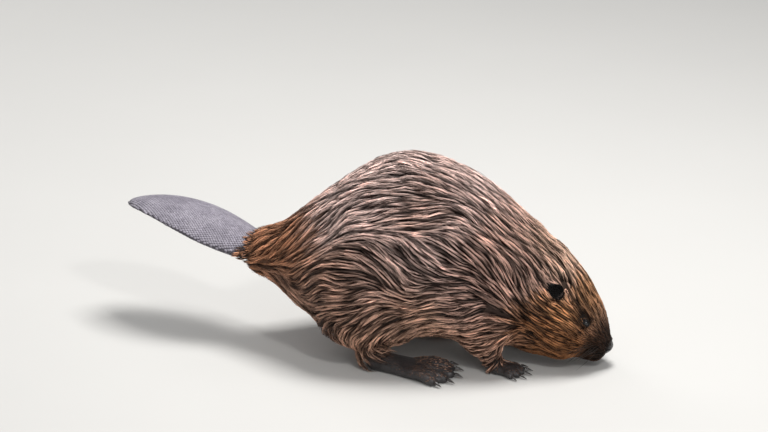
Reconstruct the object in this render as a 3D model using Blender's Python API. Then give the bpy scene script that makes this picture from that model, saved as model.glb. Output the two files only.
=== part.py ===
"""A North American beaver, life size, stepping down to the water with its head lowered.

Metres, +X towards the nose, +Y to the animal's left, +Z up. The solids hold the outer shape of
the coat. The body is fused from lofts and rounded masses, then parted with thin cuts into the
pieces that a person would name. The last step sets the origin under the middle of the model.
"""

import math
from collections import namedtuple

import bmesh
import bpy
import numpy as np
from mathutils import Matrix, Vector

GAP = 0.0004  # clearance between two solids that meet
SIDES = {"right": -1, "left": 1}

# Driving dimensions of the head, whose own frame runs back and up from the tip of the nose.
NOSE_TIP = Vector((0.291, 0.0, 0.026))
HEAD_PITCH = math.radians(42)
EYE_RADIUS = 0.0066
EYE_BACK, EYE_OUT, EYE_UP = 0.065, 0.0418, 0.021
EAR_BACK, EAR_OUT, EAR_UP = 0.134, 0.058, 0.033
EAR_LENGTH, EAR_WIDTH, EAR_THICKNESS, EAR_CUP = 0.031, 0.026, 0.0045, 0.008
EAR_LIE = Vector((-0.35, 0.0, 0.94))  # from the ear's root to its tip
EAR_FACE = Vector((0.25, 0.93, 0.27))  # the way the left ear opens

# Driving dimensions of the tail, a scaly paddle on a furred root.
TAIL_ROOT = Vector((-0.262, 0.0, 0.154))
TAIL_HEADING = math.radians(162)  # the way it points in plan, 180 being straight back
TAIL_FUR_LENGTH, TAIL_PADDLE_LENGTH = 0.030, 0.238
TAIL_HALF_WIDTH = 0.065
TAIL_ROLL, TAIL_TWIST = math.radians(-5), math.radians(8)  # its roll at the root, and how it turns by the tip
TAIL_ARCH = (0.060, 0.055, -0.082)  # how the paddle rises with its length, the length squared and cubed
TAIL_WIDEST = 0.42  # where the paddle is widest, as a share of its length
TAIL_THICKNESS, TAIL_TIP_THICKNESS = 0.0135, 0.0042  # half the height of its middle, at root and tip
TAIL_DROOP = 0.006  # how far its edges hang below its middle

# Driving dimensions of the feet.
ANKLE_HEIGHT, WRIST_HEIGHT, SOLE_HEIGHT = 0.036, 0.026, 0.0005
THIGH_X, SHOULDER_X = -0.088, 0.098
HIND_FOOT = {"right": Vector((-0.084, -0.088, 0.0)), "left": Vector((-0.108, 0.088, 0.0))}
FORE_FOOT = {"right": Vector((0.112, -0.068, 0.0)), "left": Vector((0.104, 0.068, 0.0))}
HIND_TURN, FORE_TURN = math.radians(7), math.radians(4)  # each foot points this far outwards
HIND_TOE_ROOT_X, FORE_TOE_ROOT_X = 0.070, 0.022
HIND_TOE_HEIGHT, FORE_TOE_HEIGHT = 0.0060, 0.0048

WEB_LOW, WEB_HIGH, WEB_REACH = 0.0025, 0.0078, 0.90  # the web's two faces, and its share of the toes' length

BODY_VOXEL, FOOT_VOXEL = 0.0042, 0.0019
BODY_TRIANGLES = 3000
FINE_AHEAD_OF = 0.19  # the head keeps more of its triangles than the rest of the body

Station = namedtuple("Station", "top_x top_z low_x low_z half_width sag")

# The body in profile, from the root of the tail over the back to the nape.
TRUNK_STATIONS = (
    Station(-0.290, 0.166, -0.284, 0.124, 0.030, 0.00),
    Station(-0.262, 0.183, -0.250, 0.106, 0.046, 0.02),
    Station(-0.233, 0.203, -0.213, 0.080, 0.073, 0.06),
    Station(-0.190, 0.240, -0.171, 0.054, 0.103, 0.10),
    Station(-0.140, 0.279, -0.122, 0.040, 0.124, 0.12),
    Station(-0.085, 0.315, -0.075, 0.036, 0.131, 0.12),
    Station(-0.030, 0.328, -0.022, 0.038, 0.128, 0.12),
    Station(0.035, 0.314, 0.033, 0.038, 0.119, 0.12),
    Station(0.092, 0.284, 0.078, 0.037, 0.107, 0.10),
    Station(0.140, 0.247, 0.110, 0.032, 0.094, 0.08),
    Station(0.185, 0.214, 0.130, 0.026, 0.080, 0.06),
)

HeadStation = namedtuple("HeadStation", "back above below half_width sag")

# The head, measured back from the nose tip and square to its own axis.
HEAD_STATIONS = (
    HeadStation(0.150, 0.069, 0.122, 0.072, 0.04),
    HeadStation(0.112, 0.064, 0.105, 0.064, 0.10),
    HeadStation(0.078, 0.053, 0.085, 0.053, 0.16),
    HeadStation(0.048, 0.040, 0.060, 0.039, 0.14),
    HeadStation(0.023, 0.022, 0.036, 0.029, 0.08),
    HeadStation(0.008, 0.010, 0.018, 0.020, 0.00),
)

Mass = namedtuple("Mass", "back out up radii")

# Rounded masses in the head's own frame. Those that stand out to the side are made on both sides.
HEAD_MASSES = {
    "nose": Mass(0.010, 0.0, 0.001, (0.012, 0.017, 0.013)),
    "chin": Mass(0.044, 0.0, -0.031, (0.030, 0.024, 0.015)),
    "whisker_pad": Mass(0.024, 0.015, -0.014, (0.023, 0.017, 0.018)),
    "cheek": Mass(0.079, 0.031, -0.029, (0.042, 0.029, 0.040)),
    "cheekbone": Mass(0.081, 0.039, 0.002, (0.032, 0.017, 0.020)),
    "brow": Mass(0.074, 0.028, 0.027, (0.024, 0.014, 0.010)),
}

Toe = namedtuple("Toe", "root_y turn length")

HIND_TOES = (
    Toe(-0.022, math.radians(-22), 0.052),
    Toe(-0.012, math.radians(-11), 0.064),
    Toe(0.000, math.radians(0), 0.070),
    Toe(0.012, math.radians(11), 0.067),
    Toe(0.022, math.radians(22), 0.056),
)
FORE_TOES = (
    Toe(-0.013, math.radians(-34), 0.020),
    Toe(-0.007, math.radians(-16), 0.027),
    Toe(0.000, math.radians(0), 0.029),
    Toe(0.007, math.radians(16), 0.026),
    Toe(0.012, math.radians(36), 0.018),
)


# ---------------------------------------------------------------- modelling helpers


def clear_scene():
    for thing in list(bpy.data.objects):
        bpy.data.objects.remove(thing)


def material(name, colour, roughness):
    made = bpy.data.materials.new(name)
    made.use_nodes = True
    shader = made.node_tree.nodes["Principled BSDF"]
    shader.inputs["Base Color"].default_value = (*colour, 1.0)
    shader.inputs["Roughness"].default_value = roughness
    shader.inputs["Metallic"].default_value = 0.0
    return made


def new_object(name, mesh_data, finish=None):
    made = bpy.data.objects.new(name, mesh_data)
    bpy.context.scene.collection.objects.link(made)
    if finish:
        made.data.materials.clear()
        made.data.materials.append(finish)
    return made


def object_from(name, shape, finish=None):
    """Turns a bmesh into an object whose faces point out."""
    bmesh.ops.recalc_face_normals(shape, faces=shape.faces)
    data = bpy.data.meshes.new(name)
    shape.to_mesh(data)
    shape.free()
    return new_object(name, data, finish)


def settled(obj):
    """Applies every modifier of the object to its mesh."""
    graph = bpy.context.evaluated_depsgraph_get()
    data = bpy.data.meshes.new_from_object(obj.evaluated_get(graph))
    obj.modifiers.clear()
    obj.data = data
    return obj


def smoothed_rows(rows, steps):
    """A cubic through the rows, with `steps` samples in each span."""
    rows = np.array(rows, float)
    slopes = (np.vstack([rows[1:], rows[-1:]]) - np.vstack([rows[:1], rows[:-1]])) / 2
    found = []
    for i in range(len(rows) - 1):
        for t in np.arange(steps) / steps:
            found.append(
                (2 * t**3 - 3 * t**2 + 1) * rows[i]
                + (t**3 - 2 * t**2 + t) * slopes[i]
                + (3 * t**2 - 2 * t**3) * rows[i + 1]
                + (t**3 - t**2) * slopes[i + 1]
            )
    return found + [rows[-1]]


def oval(centre, across, up, count=28, sag=0.0, squareness=2.2):
    """A ring round `centre`, with half axes `across` and `up`. `sag` widens it below the middle."""
    points = []
    for i in range(count):
        angle = 2 * math.pi * i / count
        side, rise = (
            math.copysign(abs(v) ** (2 / squareness), v) for v in (math.cos(angle), math.sin(angle))
        )
        points.append(Vector(centre) + Vector(up) * rise + Vector(across) * side * (1 - sag * rise))
    return points


def add_loft(shape, rings):
    """Adds a closed tube through the rings, with flat ends."""
    loops = [[shape.verts.new(point) for point in ring] for ring in rings]
    for one, two in zip(loops, loops[1:]):
        for i in range(len(one)):
            j = (i + 1) % len(one)
            shape.faces.new((one[i], one[j], two[j], two[i]))
    shape.faces.new(loops[0][::-1])
    shape.faces.new(loops[-1])


def add_ball(shape, centre, radii, turn=None, segments=28):
    """Adds an ellipsoid. `turn` is a rotation matrix."""
    place = Matrix.Translation(centre) @ (turn or Matrix.Identity(3)).to_4x4()
    place = place @ Matrix.Diagonal((*radii, 1.0))
    bmesh.ops.create_uvsphere(
        shape, u_segments=segments, v_segments=segments * 5 // 8, radius=1.0, matrix=place
    )


def add_limb(shape, joints, count=18):
    """Adds a tapering rod through joints given as (x, y, z, radius), with round ends."""
    rows = smoothed_rows(joints, 4)
    rings = []
    for i, row in enumerate(rows):
        ahead, behind = rows[min(i + 1, len(rows) - 1)], rows[max(i - 1, 0)]
        along = Vector(ahead[:3] - behind[:3]).normalized()
        across = along.cross(Vector((0, 0, 1)) if abs(along.z) < 0.9 else Vector((1, 0, 0)))
        across.normalize()
        up = across.cross(along)
        rings.append(oval(row[:3], across * row[3], up * row[3], count, squareness=2.0))
    add_loft(shape, rings)
    for end in (rows[0], rows[-1]):
        add_ball(shape, end[:3], (end[3] * 0.98,) * 3)


def fused(name, shape, voxel, passes, triangles, finish=None, fine_ahead_of=None):
    """Fuses the masses in `shape` into one rounded skin of about `triangles` triangles."""
    obj = object_from(name, shape, finish)
    remesh = obj.modifiers.new("fuse", "REMESH")
    remesh.mode = "VOXEL"
    remesh.voxel_size = voxel
    soften = obj.modifiers.new("soften", "SMOOTH")
    soften.factor = 0.5
    soften.iterations = passes
    settled(obj)
    thin = obj.modifiers.new("thin", "DECIMATE")
    thin.ratio = triangles / (2 * len(obj.data.polygons))
    if fine_ahead_of is not None:
        coarse = obj.vertex_groups.new(name="coarse")
        for vertex in obj.data.vertices:
            weight = 0.6 if vertex.co.x > fine_ahead_of else 1.0
            coarse.add([vertex.index], weight, "REPLACE")
        thin.vertex_group = coarse.name
        thin.vertex_group_factor = 0.002
    settled(obj)
    obj.vertex_groups.clear()
    return obj


def boolean(obj, other, operation):
    """Cuts one object by another in place."""
    cut = obj.modifiers.new(operation, "BOOLEAN")
    cut.operation = operation
    cut.solver = "EXACT"
    cut.object = other
    return settled(obj)


def copy_of(obj, name):
    made = new_object(name, obj.data.copy())
    made.matrix_world = obj.matrix_world
    return made


def swollen(obj, by):
    """A copy of the object with its surface pushed out."""
    made = copy_of(obj, obj.name + "_swollen")
    push = made.modifiers.new("push", "DISPLACE")
    push.strength = by
    push.mid_level = 0.0
    return settled(made)


def drop(*objects):
    for obj in objects:
        bpy.data.objects.remove(obj)


def trim_plane(obj, point, normal):
    """Keeps what lies on the side that `normal` points to, and closes the cut."""
    shape = bmesh.new()
    shape.from_mesh(obj.data)
    cut = bmesh.ops.bisect_plane(
        shape,
        geom=shape.verts[:] + shape.edges[:] + shape.faces[:],
        dist=1e-6,
        plane_co=point,
        plane_no=normal,
        clear_inner=True,
    )
    rim = [item for item in cut["geom_cut"] if isinstance(item, bmesh.types.BMEdge)]
    caps = bmesh.ops.holes_fill(shape, edges=rim)["faces"]
    bmesh.ops.triangulate(shape, faces=caps)
    bmesh.ops.recalc_face_normals(shape, faces=shape.faces)
    shape.to_mesh(obj.data)
    shape.free()
    return obj


def split(obj, name, point, normal):
    """Cuts a piece off on the side that `normal` points to, with a gap at the cut."""
    piece = copy_of(obj, name)
    step = Vector(normal).normalized() * (GAP / 2)
    trim_plane(piece, point + step, normal)
    trim_plane(obj, point - step, -Vector(normal))
    return piece


def carve(obj, region, name):
    """Cuts the piece of the object inside a rounded region out of it, with a gap between."""
    piece = copy_of(obj, name)
    boolean(piece, region, "INTERSECT")
    wider = swollen(region, GAP)
    boolean(obj, wider, "DIFFERENCE")
    drop(region, wider)
    return piece


def keep_largest(obj):
    """Drops the crumbs that a cut leaves loose from the main body."""
    shape = bmesh.new()
    shape.from_mesh(obj.data)
    unseen, islands = set(shape.verts), []
    while unseen:
        island, edge = set(), [unseen.pop()]
        while edge:
            vertex = edge.pop()
            island.add(vertex)
            for link in vertex.link_edges:
                other = link.other_vert(vertex)
                if other in unseen:
                    unseen.discard(other)
                    edge.append(other)
        islands.append(island)
    islands.sort(key=len)
    for island in islands[:-1]:
        bmesh.ops.delete(shape, geom=list(island), context="VERTS")
    shape.to_mesh(obj.data)
    shape.free()
    return obj


# ---------------------------------------------------------------- head


def on_head(back, out, up):
    """A point in the head's own frame: back from the nose tip, out to +Y, up from the axis."""
    pitch = Matrix.Rotation(HEAD_PITCH, 3, "Y")
    return NOSE_TIP + pitch @ Vector((-back, out, up))


def head_rings():
    """Rings of the head from behind the cheeks to the nose."""
    pitch = Matrix.Rotation(HEAD_PITCH, 3, "Y")
    rings = []
    for back, above, below, width, sag in smoothed_rows(HEAD_STATIONS, 4):
        centre = on_head(back, 0, (above - below) / 2)
        up = pitch @ Vector((0, 0, (above + below) / 2))
        rings.append(oval(centre, (0, width, 0), up, sag=sag))
    return rings


def add_head_masses(shape):
    """The bulges that give the head its look: cheeks, whisker pads, brows, nose and chin."""
    pitch = Matrix.Rotation(HEAD_PITCH, 3, "Y")
    for back, out, up, radii in HEAD_MASSES.values():
        for side in SIDES.values() if out else (1,):
            add_ball(shape, on_head(back, side * out, up), radii, pitch)


def ear_axes(side):
    """The ear's own frame: its centre, and unit vectors along its length, width and face."""
    face = Vector((EAR_FACE.x, EAR_FACE.y * side, EAR_FACE.z)).normalized()
    length = (EAR_LIE - face * EAR_LIE.dot(face)).normalized()
    return on_head(EAR_BACK, side * EAR_OUT, EAR_UP), length, length.cross(face), face


def make_ear(side, name, finish):
    """A rounded cup: a thin disc whose rim is drawn forwards round the ear's opening."""
    centre, length, width, face = ear_axes(side)
    shape = bmesh.new()
    bmesh.ops.create_uvsphere(shape, u_segments=12, v_segments=8, radius=1.0)
    for vertex in shape.verts:
        u, v, w = vertex.co
        cup = EAR_CUP * (u * u + v * v - 0.4)
        vertex.co = (
            centre
            + width * (u * EAR_WIDTH / 2)
            + length * (v * EAR_LENGTH / 2)
            + face * (w * EAR_THICKNESS / 2 + cup)
        )
    return object_from(name, shape, finish)


# ---------------------------------------------------------------- body and legs


def trunk_rings():
    """Rings of the body from the tail's root to the nape."""
    rings = []
    for top_x, top_z, low_x, low_z, width, sag in smoothed_rows(TRUNK_STATIONS, 3):
        top, low = Vector((top_x, 0, top_z)), Vector((low_x, 0, low_z))
        rings.append(oval((top + low) / 2, (0, width, 0), (top - low) / 2, 36, sag, 2.25))
    return rings


def hind_leg_joints(side):
    """Knee, heel and ankle of one hind leg, as (x, y, z, radius)."""
    heel = HIND_FOOT[side]
    out = SIDES[side]
    return (
        (heel.x + 0.055, heel.y - out * 0.004, 0.112, 0.040),
        (heel.x + 0.020, heel.y, 0.076, 0.036),
        (heel.x + 0.004, heel.y, 0.046, 0.027),
        (heel.x + 0.012, heel.y, 0.022, 0.019),
    )


def foreleg_joints(side):
    """Elbow, wrist and palm of one foreleg, as (x, y, z, radius)."""
    palm = FORE_FOOT[side]
    out = SIDES[side]
    return (
        (palm.x - 0.024, palm.y - out * 0.002, 0.104, 0.034),
        (palm.x - 0.028, palm.y, 0.066, 0.029),
        (palm.x - 0.006, palm.y, 0.036, 0.020),
        (palm.x + 0.008, palm.y, 0.020, 0.015),
    )


def add_leg_masses(shape):
    """Thighs, shoulders and the lower legs."""
    for side, out in SIDES.items():
        thigh = Matrix.Rotation(math.radians(38), 3, "Y")
        add_ball(shape, (THIGH_X + 0.002, out * 0.088, 0.128), (0.104, 0.051, 0.077), thigh)
        add_ball(shape, (THIGH_X - 0.010, out * 0.090, 0.080), (0.070, 0.040, 0.045))
        shoulder = Matrix.Rotation(math.radians(58), 3, "Y")
        add_ball(shape, (SHOULDER_X, out * 0.066, 0.128), (0.084, 0.038, 0.056), shoulder)
        add_limb(shape, hind_leg_joints(side))
        add_limb(shape, foreleg_joints(side))


def hind_leg_region(side):
    """The rounded region that parts a hind leg from the body."""
    out = SIDES[side]
    shape = bmesh.new()
    turn = Matrix.Rotation(math.radians(14), 3, "Y")
    add_ball(shape, (THIGH_X - 0.004, out * 0.128, 0.088), (0.122, 0.078, 0.122), turn, 16)
    return object_from("region", shape)


def foreleg_region(side):
    """The rounded region that parts a foreleg from the body."""
    out = SIDES[side]
    shape = bmesh.new()
    turn = Matrix.Rotation(math.radians(-4), 3, "Y")
    add_ball(shape, (SHOULDER_X - 0.006, out * 0.098, 0.070), (0.068, 0.062, 0.096), turn, 14)
    return object_from("region", shape)


# ---------------------------------------------------------------- feet and claws


def toe_points(toe, root_x, height, side):
    """Root and tip of a toe in the foot's frame, with the foot's inner side towards the body."""
    root = Vector((root_x, side * toe.root_y, height))
    aim = Vector((math.cos(toe.turn), side * math.sin(toe.turn), 0))
    return root, root + aim * toe.length, aim


def add_web(shape, toes, side):
    """The skin between the hind toes: a thin fan from the toe roots to near the tips."""
    rows = [toe_points(toe, HIND_TOE_ROOT_X + 0.012, 0.0, side)[:2] for toe in toes]
    for (root_a, tip_a), (root_b, tip_b) in zip(rows, rows[1:]):
        ends = (root_a, root_a.lerp(tip_a, WEB_REACH), root_b.lerp(tip_b, WEB_REACH), root_b)
        middle = root_a.lerp(tip_a, WEB_REACH - 0.1).lerp(root_b.lerp(tip_b, WEB_REACH - 0.1), 0.5)
        outline = (ends[0], ends[1], middle, ends[2], ends[3])
        low = [shape.verts.new(p + Vector((0, 0, WEB_LOW))) for p in outline]
        high = [shape.verts.new(p + Vector((0, 0, WEB_HIGH))) for p in outline]
        shape.faces.new(low)
        shape.faces.new(high[::-1])
        for i in range(len(low)):
            j = (i + 1) % len(low)
            shape.faces.new((low[j], low[i], high[i], high[j]))


def hind_foot_shape(side):
    """Ankle, sole, toes and web of a hind foot in its own frame."""
    shape = bmesh.new()
    add_limb(shape, ((0.012, 0, 0.052, 0.017), (0.009, 0, 0.034, 0.018), (0.014, 0, 0.017, 0.018)))
    sole = [
        oval((0.006, 0, 0.012), (0, 0.015, 0), (0, 0, 0.014), 20),
        oval((0.030, 0, 0.012), (0, 0.020, 0), (0, 0, 0.015), 20),
        oval((0.058, 0, 0.010), (0, 0.027, 0), (0, 0, 0.012), 20),
        oval((0.086, 0, 0.007), (0, 0.033, 0), (0, 0, 0.009), 20),
    ]
    add_loft(shape, sole)
    for toe in HIND_TOES:
        root, tip, _ = toe_points(toe, HIND_TOE_ROOT_X, 0.0085, side)
        knuckle = root.lerp(tip, 0.55) + Vector((0, 0, 0.0035))
        rows = ((*root, 0.0085), (*knuckle, 0.0078), (tip.x, tip.y, 0.0060, 0.0066))
        add_limb(shape, rows, 12)
    add_web(shape, HIND_TOES, side)
    return shape


def fore_foot_shape(side):
    """Wrist, palm and toes of a forefoot in its own frame."""
    shape = bmesh.new()
    add_limb(shape, ((-0.004, 0, 0.044, 0.0125), (0.000, 0, 0.026, 0.0125), (0.008, 0, 0.012, 0.013)))
    add_ball(shape, (0.016, 0, 0.008), (0.020, 0.0165, 0.0105))
    for toe in FORE_TOES:
        root, tip, _ = toe_points(toe, FORE_TOE_ROOT_X, 0.0070, side)
        knuckle = root.lerp(tip, 0.55) + Vector((0, 0, 0.0022))
        rows = ((*root, 0.0060), (*knuckle, 0.0056), (tip.x, tip.y, 0.0048, 0.0048))
        add_limb(shape, rows, 10)
    return shape


def claw_object(name, tip, aim, length, radius, finish):
    """A claw that grows out of the toe's tip and curves down to the floor."""
    shape = bmesh.new()
    across = Vector((-aim.y, aim.x, 0))
    rings = []
    start = tip - aim * 0.003
    for t in (0, 0.5, 1):
        bow = 0.0016 + 0.0030 * t * (1 - t) - 0.0046 * t * t
        centre = start + aim * (length * t) + Vector((0, 0, bow))
        taper = 1.0 - 0.86 * t**1.6
        up = Vector((0, 0, radius * 0.9 * taper))
        rings.append(oval(centre, across * radius * taper, up, 6, squareness=2.0))
    add_loft(shape, rings)
    return object_from(name, shape, finish)


def make_foot(kind, side, finishes):
    """One foot with its soles cut flat at the floor, and its five claws."""
    out = SIDES[side]
    if kind == "hind_foot":
        toes, root_x, tip_height = HIND_TOES, HIND_TOE_ROOT_X, HIND_TOE_HEIGHT
        heel, turn, top, triangles = HIND_FOOT[side], HIND_TURN, ANKLE_HEIGHT, 430
        claw_length, claw_radius = 0.018, 0.0040
        shape = hind_foot_shape(out)
    else:
        toes, root_x, tip_height = FORE_TOES, FORE_TOE_ROOT_X, FORE_TOE_HEIGHT
        heel, turn, top, triangles = FORE_FOOT[side], FORE_TURN, WRIST_HEIGHT, 300
        claw_length, claw_radius = 0.016, 0.0028
        shape = fore_foot_shape(out)
    place = Matrix.Translation(heel) @ Matrix.Rotation(out * turn, 4, "Z")
    foot = fused(f"{kind}_{side}", shape, FOOT_VOXEL, 3, triangles, finishes["foot"])
    trim_plane(foot, Vector((0, 0, SOLE_HEIGHT)), Vector((0, 0, 1)))
    trim_plane(foot, Vector((0, 0, top - GAP)), Vector((0, 0, -1)))
    skin = swollen(foot, GAP)
    for number, toe in enumerate(toes, 1):
        _, tip, aim = toe_points(toe, root_x, tip_height, out)
        name = f"{kind}_{side}_claw_{number}"
        claw = claw_object(name, tip + aim * claw_radius, aim, claw_length, claw_radius, finishes["claw"])
        boolean(claw, skin, "DIFFERENCE")
        keep_largest(claw)
        claw.data.transform(place)
    drop(skin)
    foot.data.transform(place)
    return foot


# ---------------------------------------------------------------- tail


def tail_frame(t=0.0):
    """Unit vectors along the tail, across it towards the animal's right, and out of its back.

    `t` is the share of the paddle's length, over which it twists."""
    along = Vector((math.cos(TAIL_HEADING), math.sin(TAIL_HEADING), 0))
    across = Vector((-along.y, along.x, 0))
    roll = Matrix.Rotation(TAIL_ROLL + TAIL_TWIST * t, 3, along)
    return along, roll @ across, roll @ Vector((0, 0, 1))


def paddle_half_width(t):
    """Half width of the paddle from its root, at 0, to its round tip, at 1."""
    swell = 0.66 + 0.34 * math.sin(math.pi / 2 * min(1.0, t / TAIL_WIDEST))
    tip = math.sqrt(max(0.0, 1.0 - max(0.0, (t - TAIL_WIDEST) / (1 - TAIL_WIDEST)) ** 1.75))
    return TAIL_HALF_WIDTH * swell * tip


def make_tail(finish):
    """The scaly paddle: thick along its middle, thin at its edges, and arched along its length."""
    start = TAIL_ROOT + tail_frame()[0] * TAIL_FUR_LENGTH
    spans, last = 15, 0.996
    rings = []
    for i in range(spans + 1):
        t = last * math.sin(math.pi / 2 * i / spans) ** 1.15
        width = max(paddle_half_width(t), 0.004)
        thick = TAIL_THICKNESS * (1 - t) ** 0.8 + TAIL_TIP_THICKNESS
        rise = sum(share * t**power for power, share in enumerate(TAIL_ARCH, 1))
        along, across, up = tail_frame(t)
        centre = start + along * TAIL_PADDLE_LENGTH * t + Vector((0, 0, rise))
        ring = []
        for point in oval((0, 0, 0), (1, 0, 0), (0, 1, 0), 16, squareness=2.0):
            droop = -TAIL_DROOP * point.x * point.x * width / TAIL_HALF_WIDTH
            bulge = thick * (0.32 + 0.68 * math.sqrt(max(0.0, 1 - point.x * point.x)))
            ring.append(centre + across * point.x * width + up * (point.y * bulge + droop))
        rings.append(ring)
    shape = bmesh.new()
    add_loft(shape, rings)
    return object_from("tail", shape, finish)


def add_tail_root(shape):
    """The furred root that joins the paddle to the rump."""
    along, across, up = tail_frame()
    rings = []
    for t in np.linspace(0, 1, 6):
        centre = TAIL_ROOT + along * (0.052 * t - 0.020)
        rings.append(oval(centre, across * (0.044 - 0.004 * t), up * (0.030 - 0.010 * t), 24))
    add_loft(shape, rings)
    add_ball(shape, TAIL_ROOT - along * 0.022, (0.044, 0.052, 0.038))


# ---------------------------------------------------------------- assembly


def make_body(fur):
    """All the furred flesh as one rounded body."""
    shape = bmesh.new()
    add_loft(shape, trunk_rings())
    add_loft(shape, head_rings())
    nape = Matrix.Rotation(math.radians(42), 3, "Y")
    add_ball(shape, (0.150, 0, 0.128), (0.062, 0.076, 0.092), nape)
    add_ball(shape, (0.128, 0, 0.080), (0.062, 0.074, 0.052))
    add_head_masses(shape)
    add_leg_masses(shape)
    add_tail_root(shape)
    return fused("trunk", shape, BODY_VOXEL, 8, BODY_TRIANGLES, fur, fine_ahead_of=FINE_AHEAD_OF)


def part_body(trunk, finishes):
    """Parts the fused body into its named pieces. What is left is the trunk."""
    along, _, _ = tail_frame()
    forwards = Vector((0.945, 0, -0.33))
    for side in SIDES:
        carve(trunk, hind_leg_region(side), f"hind_leg_{side}")
        carve(trunk, foreleg_region(side), f"foreleg_{side}")
    for side in SIDES:
        trim_plane(bpy.data.objects[f"hind_leg_{side}"], Vector((0, 0, ANKLE_HEIGHT)), Vector((0, 0, 1)))
        trim_plane(bpy.data.objects[f"foreleg_{side}"], Vector((0, 0, WRIST_HEIGHT)), Vector((0, 0, 1)))
    tail_root = split(trunk, "tail_root", TAIL_ROOT - along * 0.004, along)
    trim_plane(tail_root, TAIL_ROOT + along * (TAIL_FUR_LENGTH - GAP), -along)
    neck = split(trunk, "neck", Vector((0.134, 0, 0.150)), forwards)
    head = split(neck, "head", Vector((0.187, 0, 0.150)), forwards)
    pitch = Matrix.Rotation(HEAD_PITCH, 3, "Y")
    nose_region = bmesh.new()
    add_ball(nose_region, on_head(0.002, 0, 0.003), (0.0125, 0.0175, 0.0125), pitch, 14)
    nose = carve(head, object_from("region", nose_region), "nose")
    nose.data.materials.clear()
    nose.data.materials.append(finishes["nose"])
    for piece in (trunk, neck, head, tail_root):
        keep_largest(piece)
    return head


def make_eye(head, side, finish):
    """An eyeball, and the socket that it sits in."""
    shape = bmesh.new()
    out = SIDES[side]
    centre = on_head(EYE_BACK, out * EYE_OUT, EYE_UP)
    bmesh.ops.create_icosphere(
        shape, subdivisions=2, radius=EYE_RADIUS, matrix=Matrix.Translation(centre)
    )
    eye = object_from(f"eye_{side}", shape, finish)
    socket = swollen(eye, GAP)
    boolean(head, socket, "DIFFERENCE")
    drop(socket)


def set_origin():
    """Moves the model so that the origin is on the floor under the middle of its box."""
    points = [v.co for obj in bpy.data.objects for v in obj.data.vertices]
    lowest = [min(p[axis] for p in points) for axis in range(3)]
    highest = [max(p[axis] for p in points) for axis in range(3)]
    shift = Vector((-(lowest[0] + highest[0]) / 2, -(lowest[1] + highest[1]) / 2, -lowest[2]))
    for obj in bpy.data.objects:
        obj.data.transform(Matrix.Translation(shift))
        obj.data.shade_smooth()
        obj.data.set_sharp_from_angle(angle=math.radians(50))


def main():
    clear_scene()
    finishes = {
        "fur": material("wet_fur", (0.115, 0.072, 0.050), 0.55),
        "tail": material("tail_scales", (0.105, 0.112, 0.130), 0.50),
        "foot": material("foot_skin", (0.045, 0.040, 0.040), 0.55),
        "nose": material("nose_skin", (0.022, 0.020, 0.021), 0.38),
        "ear": material("ear_skin", (0.026, 0.020, 0.018), 0.65),
        "eye": material("eye_gloss", (0.012, 0.009, 0.008), 0.08),
        "claw": material("claw_horn", (0.075, 0.062, 0.052), 0.40),
    }
    trunk = make_body(finishes["fur"])
    head = part_body(trunk, finishes)
    head_skin = swollen(head, GAP)
    for side, out in SIDES.items():
        make_eye(head, side, finishes["eye"])
        ear = make_ear(out, f"ear_{side}", finishes["ear"])
        boolean(ear, head_skin, "DIFFERENCE")
        keep_largest(ear)
        make_foot("hind_foot", side, finishes)
        make_foot("forefoot", side, finishes)
    drop(head_skin)
    make_tail(finishes["tail"])
    set_origin()


main()
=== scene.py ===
"""A life-size beaver stooping at the water's edge, as a museum shows it.

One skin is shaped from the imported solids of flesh. A wet coat of solid locks is laid over it, and the eyes,
claws, tail scales and whiskers are added. The file is laid out as an add-on and is run as a script.
"""

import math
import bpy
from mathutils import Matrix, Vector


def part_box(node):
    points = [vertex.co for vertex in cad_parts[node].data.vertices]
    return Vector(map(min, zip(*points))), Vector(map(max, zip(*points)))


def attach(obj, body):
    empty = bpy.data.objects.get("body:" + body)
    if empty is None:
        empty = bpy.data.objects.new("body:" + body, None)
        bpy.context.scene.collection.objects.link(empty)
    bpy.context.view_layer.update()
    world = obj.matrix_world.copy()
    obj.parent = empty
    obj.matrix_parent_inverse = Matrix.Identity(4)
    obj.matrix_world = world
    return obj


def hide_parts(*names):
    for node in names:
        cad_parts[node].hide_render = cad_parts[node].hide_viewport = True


bl_info = {
    "name": "Stooping Beaver",
    "version": (1, 0, 0),
    "blender": (4, 5, 0),
    "location": "3D View > Sidebar > Beaver",
    "description": "Skin, wet coat, eyes, claws, scaly tail and studio for a life-size beaver",
    "category": "Add Mesh",
}

import bmesh
import bpy
import numpy as np
from mathutils import Vector
from mathutils.bvhtree import BVHTree

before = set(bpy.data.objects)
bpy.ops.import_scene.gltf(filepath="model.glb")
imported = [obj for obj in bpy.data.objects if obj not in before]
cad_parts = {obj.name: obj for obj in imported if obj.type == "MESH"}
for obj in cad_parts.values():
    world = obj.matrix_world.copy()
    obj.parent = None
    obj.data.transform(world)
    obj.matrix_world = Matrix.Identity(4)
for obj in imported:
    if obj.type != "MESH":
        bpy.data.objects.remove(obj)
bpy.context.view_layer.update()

SIDES = {"right": -1.0, "left": 1.0}
PAIRED_FLESH = ("ear", "foreleg", "hind_leg", "forefoot", "hind_foot")
FLESH = ["trunk", "neck", "head", "nose", "tail_root", "tail"]
FLESH += [f"{part}_{side}" for part in PAIRED_FLESH for side in SIDES]
EYES = [f"eye_{side}" for side in SIDES]
PARTS = FLESH + EYES  # a point's part is its number in this list
CLAWS = sorted(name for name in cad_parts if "_claw_" in name)

SKIN = "skin"
COLOUR = "hair_colour"  # the colour attribute that skin and coat share
DEPTH = "coat_depth"  # how far the coat's tips stand above each point of the skin
PART = "part"  # the number of the part that each point of the skin is of
BAKE_MAP = "OFBake"
TUFT_PATCH = 0.003  # width of one tuft's patch on that map
UNWRAP_ANGLE = math.radians(66)
UNWRAP_MARGIN = 0.002

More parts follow.
